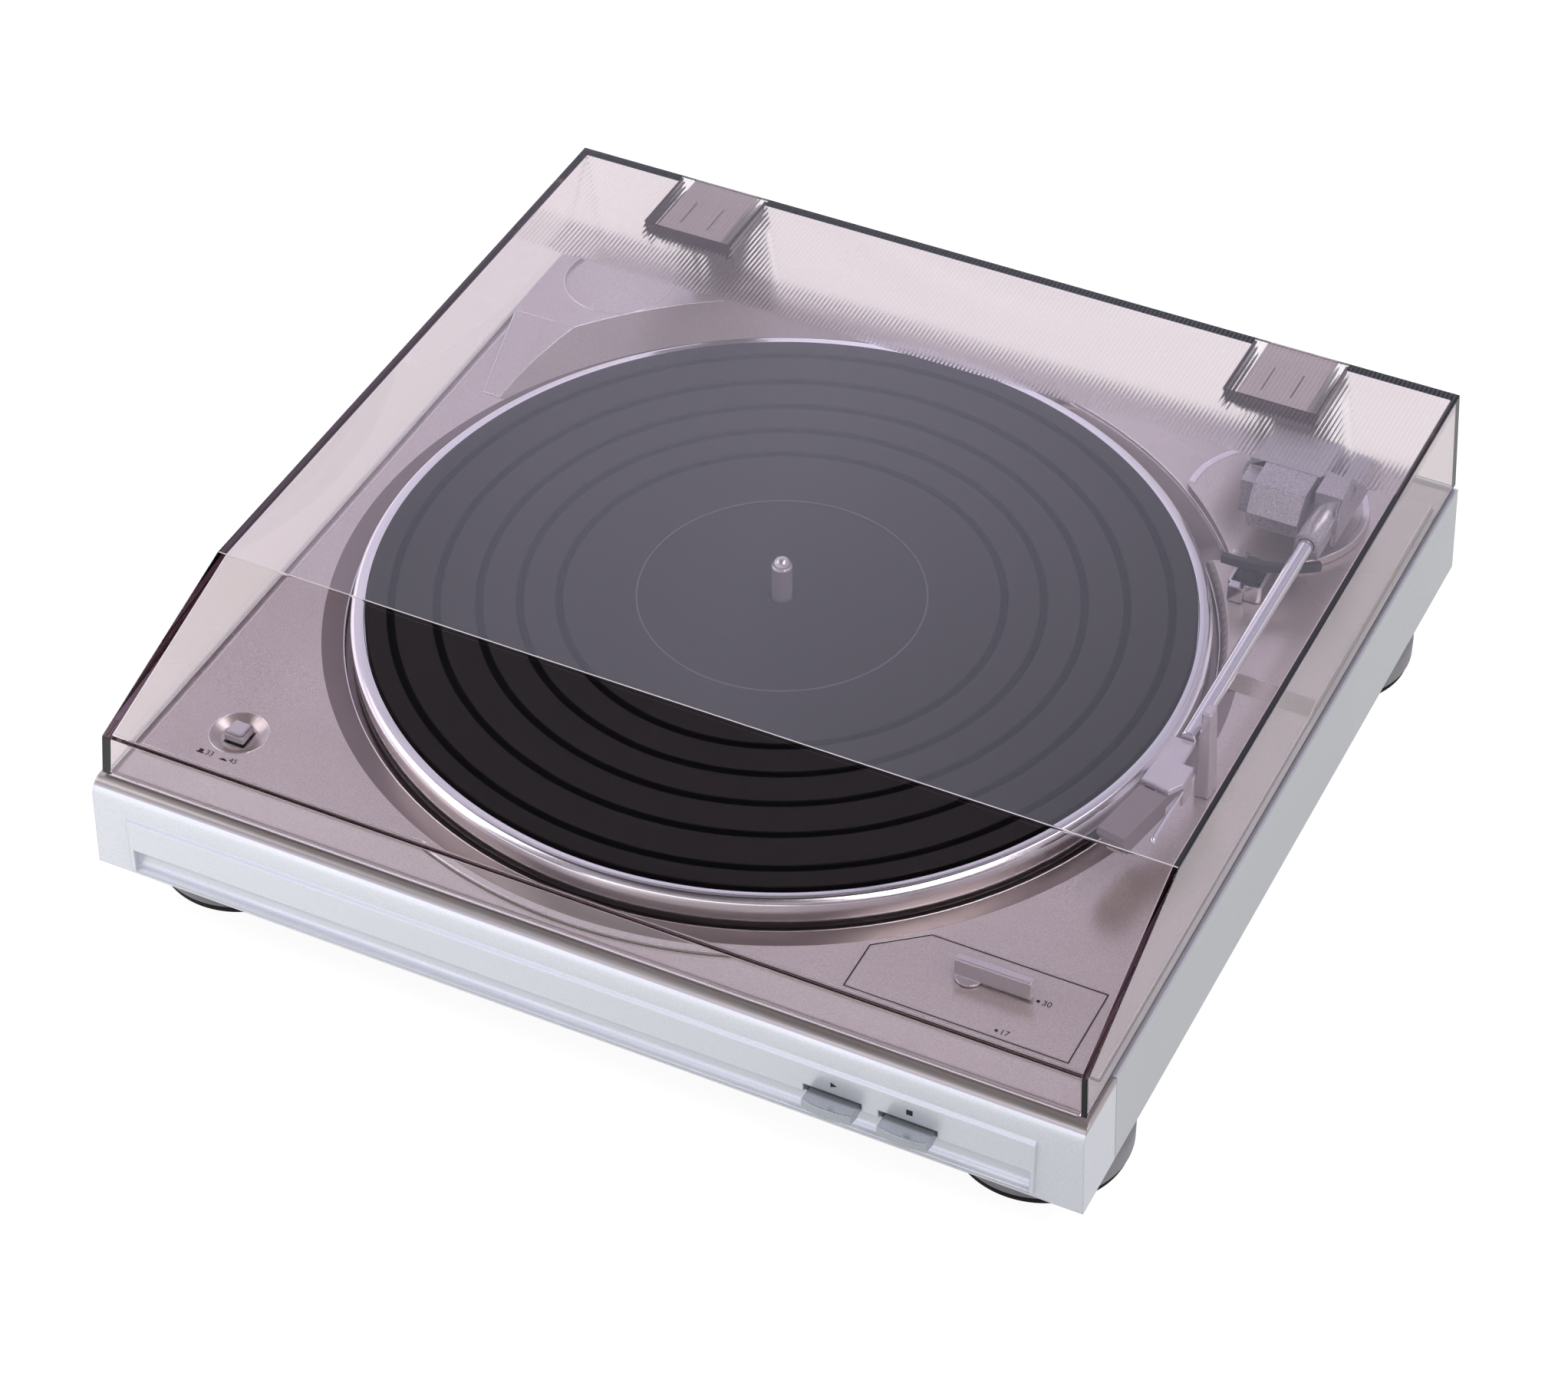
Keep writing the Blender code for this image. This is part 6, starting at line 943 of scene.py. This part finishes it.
for side, middle in (("left", -HINGE_X), ("right", HINGE_X)):
    for which, off in (("outer", -RIB_OFF), ("inner", RIB_OFF)):
        bevelled(carried(f"cover_rib_{which}_{side}", block(
            (middle + off - RIB_HALF, RIB_FRONT, RIB_TOP - RIB_DROP),
            (middle + off + RIB_HALF, RIB_REAR, RIB_TOP),
        ), rib_acrylic, "cover"), 0.2 * MM)
    bevelled(carried(f"cover_rib_front_{side}", block(
        (middle - RIB_OFF, RIB_FRONT - CROSS_RIB, RIB_TOP - CROSS_DROP),
        (middle + RIB_OFF, RIB_FRONT, RIB_TOP),
    ), rib_acrylic, "cover"), 0.2 * MM)
    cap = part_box(f"hinge_arm_{side}")[1][2]
    # Painted shade: black bars sunk in the strap's cap stand in for the shade in its two slots
    for which, off in (("left", -SLOT_OFF), ("right", SLOT_OFF)):
        carried(f"hinge_slot_{which}_{side}", block(
            (middle + off - SLOT_HALF, SLOT_FRONT, cap - SLOT_DEEP),
            (middle + off + SLOT_HALF, SLOT_REAR, cap + 0.02 * MM),
        ), black_abs_and_slot_shade, "cover")
    softened(f"hinge_arm_{side}", f"hinge_strap_{side}", hinge_abs, "cover", 0.4 * MM, 2 * MM)
    softened(f"hinge_base_{side}", f"hinge_cup_{side}", hinge_abs, "chassis", 0.3 * MM, 1 * MM)


# Printed marks

DECK_Z = 57.5 * MM
INK_THICK, INK_LIFT = 0.04 * MM, 0.02 * MM
CAPITAL = 0.7       # height of a capital of the default face, as a share of the text's size
PUSHED_OUT = 0.01   # how far the text is pushed out each way before it is scaled


def lettering(name, words, place, height):
    """Flat figures of the default face, made a mesh, scaled to a capital height and placed."""
    curve = bpy.data.curves.new(name, "FONT")
    curve.body = words
    curve.size = 1.0
    curve.align_x = "CENTER"
    curve.align_y = "CENTER"
    curve.extrude = PUSHED_OUT
    drawn = bpy.data.objects.new(name + "_curve", curve)
    bpy.context.scene.collection.objects.link(drawn)
    bpy.context.view_layer.update()
    mesh = bpy.data.meshes.new_from_object(
        drawn.evaluated_get(bpy.context.evaluated_depsgraph_get())
    )
    bpy.data.objects.remove(drawn)
    scale = height / CAPITAL
    size = Matrix.Diagonal((scale, scale, INK_THICK / (2 * PUSHED_OUT), 1))
    mesh.transform(Matrix.Translation(place) @ size)
    return settle(name, mesh, ink_and_joint_shadow, "chassis")


def mark(name, outline, place, facing="up"):
    """A thin flat mark: the outline (u, v) pushed out by the ink's thickness, on the deck, where
    (u, v) is (x, y), or on the front panel, where it is (x, z)."""
    flat = np.array(outline, float)
    across, along = flat[:, 0], flat[:, 1]
    layers = []
    for lift in (0, INK_THICK):
        if facing == "up":
            layer = (place[0] + across, place[1] + along, place[2] + lift + 0 * across)
        else:
            layer = (place[0] + across, place[1] - lift + 0 * across, place[2] + along)
        layers.append(np.stack(layer, -1))
    return carried(name, layers, ink_and_joint_shadow, "chassis")


a = np.arange(20) * TURN / 20
dot = 0.6 * MM * np.stack([np.cos(a), np.sin(a)], -1)
top = DECK_Z + INK_LIFT
for words, x, y, tall in (
    ("33", -149.3, -141.8, 2.2), ("45", -140.2, -141.7, 2.2),
    ("30", 147.6, -126.0, 2.3), ("17", 140.6, -143.2, 2.3),
):
    lettering(f"figure_{words}", words, (x * MM, y * MM, top), tall * MM)
mark("dot_30", dot, (144.6 * MM, -126.0 * MM, top))
mark("dot_17", dot, (137.8 * MM, -143.2 * MM, top))
for name, x, y, tall in (("key_up", -152.6, -141.9, 1.9), ("key_down", -143.6, -141.9, 0.9)):
    outline = MM * np.array([
        (-1.4, -0.9), (1.4, -0.9), (1.4, -0.4), (0.8, -0.4), (0.8, tall - 0.9), (-0.8, tall - 0.9),
        (-0.8, -0.4), (-1.4, -0.4),
    ])
    mark(name, outline, (x * MM, y * MM, top))
BAND_Y, SIGN_Z = FACE_Y - BAND_PROUD - INK_LIFT, 38.8 * MM
sign = 1.1 * MM
mark("start_sign", [(-sign, -sign), (sign, 0), (-sign, sign)],
     (94.8 * MM, BAND_Y, SIGN_Z), "front")
mark("stop_sign", [(-sign, -sign), (sign, -sign), (sign, sign), (-sign, sign)],
     (120.9 * MM, BAND_Y, SIGN_Z), "front")


# Light, floor and camera

scene = bpy.context.scene
scene.view_settings.view_transform = "Standard"

# What looks straight out, or through the cover, sees white; polished faces see a soft light
# behind the object that fades to a dark ceiling; all else is lit evenly. The levels below are
# (height of the direction looked in, brightness) and (share of the way across, brightness).
CEILING_LEVELS = (
    (0.14, 2.1), (0.24, 1.2), (0.3, 1.0), (0.5, 1.3), (0.62, 1.27), (0.69, 1.0), (0.73, 1.6),
    (0.77, 1.4), (0.85, 0.12),
)
ASIDE_LEVELS = ((0.16, 0.74), (0.27, 0.98), (0.4, 1.1), (0.66, 0.8))
CEILING_TINT = (0.9, 0.91, 1.14)    # cool, as daylight on silver paint
world = bpy.data.worlds.new("studio")
scene.world = world
world.use_nodes = True
tree = world.node_tree
tree.nodes.clear()
sight = add(tree, "ShaderNodeTexCoord").outputs["Generated"]
parts = add(tree, "ShaderNodeSeparateXYZ", {0: sight})
ceiling = add(tree, "ShaderNodeValToRGB", {0: parts.outputs[2]})
ceiling.color_ramp.elements[0].position = 0.0
ceiling.color_ramp.elements[0].color = (2.2, 2.2, 2.3, 1)
ceiling.color_ramp.elements[1].position = 0.93
ceiling.color_ramp.elements[1].color = (0.03, 0.03, 0.035, 1)
for position, level in CEILING_LEVELS:
    stop = ceiling.color_ramp.elements.new(position)
    stop.color = (*(level * tint for tint in CEILING_TINT), 1)
straight, polished = kinds_of_look(tree)
even = add(tree, "ShaderNodeBackground", {"Color": (0.97, 0.98, 1.0, 1), "Strength": 0.44})
across = add(tree, "ShaderNodeMapRange", {
    "Value": parts.outputs[0], "From Min": -0.5, "From Max": -0.1,
})
aside = add(tree, "ShaderNodeValToRGB", {0: across.outputs["Result"]})
aside.color_ramp.elements[0].color = (0.85, 0.85, 0.85, 1)
aside.color_ramp.elements[1].color = (0.5, 0.5, 0.5, 1)
for position, level in ASIDE_LEVELS:
    stop = aside.color_ramp.elements.new(position)
    stop.color = (level, level, level, 1)
fore = add(tree, "ShaderNodeMapRange", {
    "Value": parts.outputs[1], "From Min": -0.4, "From Max": 0.3, "To Min": 0.35, "To Max": 1.0,
})
horizon = add(tree, "ShaderNodeMapRange", {
    "Value": parts.outputs[2], "From Min": 0.35, "From Max": 0.6, "To Min": 1.0, "To Max": 0.0,
})
open_part = add(tree, "ShaderNodeMath", {
    0: fore.outputs["Result"], 1: horizon.outputs["Result"],
}, operation="MAXIMUM")
amount = add(tree, "ShaderNodeMath", {
    0: aside.outputs[0], 1: open_part.outputs[0],
}, operation="MULTIPLY")
soft = add(tree, "ShaderNodeBackground", {
    "Color": ceiling.outputs[0], "Strength": amount.outputs[0],
})
white = add(tree, "ShaderNodeBackground", {"Color": (1, 1, 1, 1), "Strength": 1.0})
lit = add(tree, "ShaderNodeMixShader", {0: polished, 1: even.outputs[0], 2: soft.outputs[0]})
seen = add(tree, "ShaderNodeMixShader", {0: straight, 1: lit.outputs[0], 2: white.outputs[0]})
add(tree, "ShaderNodeOutputWorld", {"Surface": seen.outputs[0]})


def softbox(name, place, target, width, height, power, colour="FFFFFF"):
    """A rectangular area lamp at place that faces target."""
    lamp = bpy.data.lights.new(name, "AREA")
    lamp.shape = "RECTANGLE"
    lamp.size = width
    lamp.size_y = height
    lamp.energy = power
    lamp.color = linear(colour)[:3]
    holder = bpy.data.objects.new(name, lamp)
    holder.location = place
    holder.rotation_euler = (Vector(target) - Vector(place)).to_track_quat("-Z", "Y").to_euler()
    scene.collection.objects.link(holder)


softbox("key", (-1.5, -0.5, 1.2), (0, 0, 0.05), 1.5, 1.2, 13)
softbox("fill", (1.0, -0.4, 1.6), (0.1, 0, 0.05), 0.8, 0.8, 13)
softbox("front", (0.1, -1.5, 0.95), (0, 0, 0.05), 1.4, 0.3, 2.5)
softbox("top", (0.7, 0.5, 1.7), (0, 0, 0.05), 0.7, 0.7, 8, "F4F6FF")

# The floor glows white to the eye and keeps a faint shadow. In reflections it dims to the right,
# and in front of the object it grows brighter with distance.
GLOW_SHARE, GLOW_SEEN = 0.8, 1.15
floor_material, tree, place, shader = begin("pale_floor", {
    "Base Color": linear("F6F6F6"), "Roughness": 0.9, "Specular IOR Level": 0.2,
})
straight, polished = kinds_of_look(tree)
share = add(tree, "ShaderNodeMath", {0: polished, 1: GLOW_SHARE}, operation="MULTIPLY")
parts = add(tree, "ShaderNodeSeparateXYZ", {0: place})
fade = add(tree, "ShaderNodeMapRange", {
    "Value": parts.outputs[0], "From Min": -0.2, "From Max": 0.2, "To Min": 1.25, "To Max": 0.5,
})
far = add(tree, "ShaderNodeMapRange", {
    "Value": parts.outputs[1], "From Min": -0.35, "From Max": -0.8, "To Min": 1.0, "To Max": 1.8,
})
onward = add(tree, "ShaderNodeMath", {
    0: fade.outputs["Result"], 1: far.outputs["Result"],
}, operation="MULTIPLY")
ahead = add(tree, "ShaderNodeMath", {0: parts.outputs[1], 1: -0.17}, operation="LESS_THAN")
behind = add(tree, "ShaderNodeMapRange", {
    "Value": parts.outputs[0], "From Min": -0.2, "From Max": 0.2, "To Min": 1.5, "To Max": 0.6,
})
shone = add(tree, "ShaderNodeMix", {
    0: ahead.outputs[0], 2: behind.outputs["Result"], 3: onward.outputs[0],
}, data_type="FLOAT")
level = add(tree, "ShaderNodeMix", {
    0: straight, 2: shone.outputs[0], 3: GLOW_SEEN,
}, data_type="FLOAT")
glow = add(tree, "ShaderNodeEmission", {"Color": (1, 1, 1, 1), "Strength": level.outputs[0]})
mix = add(tree, "ShaderNodeMixShader", {
    0: share.outputs[0], 1: shader.outputs[0], 2: glow.outputs[0],
})
tree.links.new(mix.outputs[0], tree.nodes["Material Output"].inputs["Surface"])
FLOOR_HALF = 4
floor_mesh = bpy.data.meshes.new("floor")
floor_mesh.from_pydata([
    (-FLOOR_HALF, -FLOOR_HALF, 0), (FLOOR_HALF, -FLOOR_HALF, 0),
    (FLOOR_HALF, FLOOR_HALF, 0), (-FLOOR_HALF, FLOOR_HALF, 0),
], [], [(0, 1, 2, 3)])
floor_mesh.materials.append(floor_material)
floor = bpy.data.objects.new("floor", floor_mesh)
scene.collection.objects.link(floor)

CAMERA_PLACE = Vector((0.473816, -0.982548, 1.013702))
CAMERA_TARGET = Vector((0.010525, -0.032831, 0.0595))
CAMERA_ROLL = -0.0833
SENSOR, FOCAL_PIXELS, FRAME_PIXELS = 36, 5487.54, 2044
lens = bpy.data.cameras.new("photo_camera")
lens.sensor_fit = "HORIZONTAL"
lens.sensor_width = SENSOR
lens.lens = FOCAL_PIXELS * SENSOR / FRAME_PIXELS
camera = bpy.data.objects.new("photo_camera", lens)
look = (CAMERA_TARGET - CAMERA_PLACE).to_track_quat("-Z", "Y").to_matrix().to_4x4()
camera.matrix_world = (
    Matrix.Translation(CAMERA_PLACE) @ look @ Matrix.Rotation(math.radians(CAMERA_ROLL), 4, "Z")
)
scene.collection.objects.link(camera)
scene.camera = camera
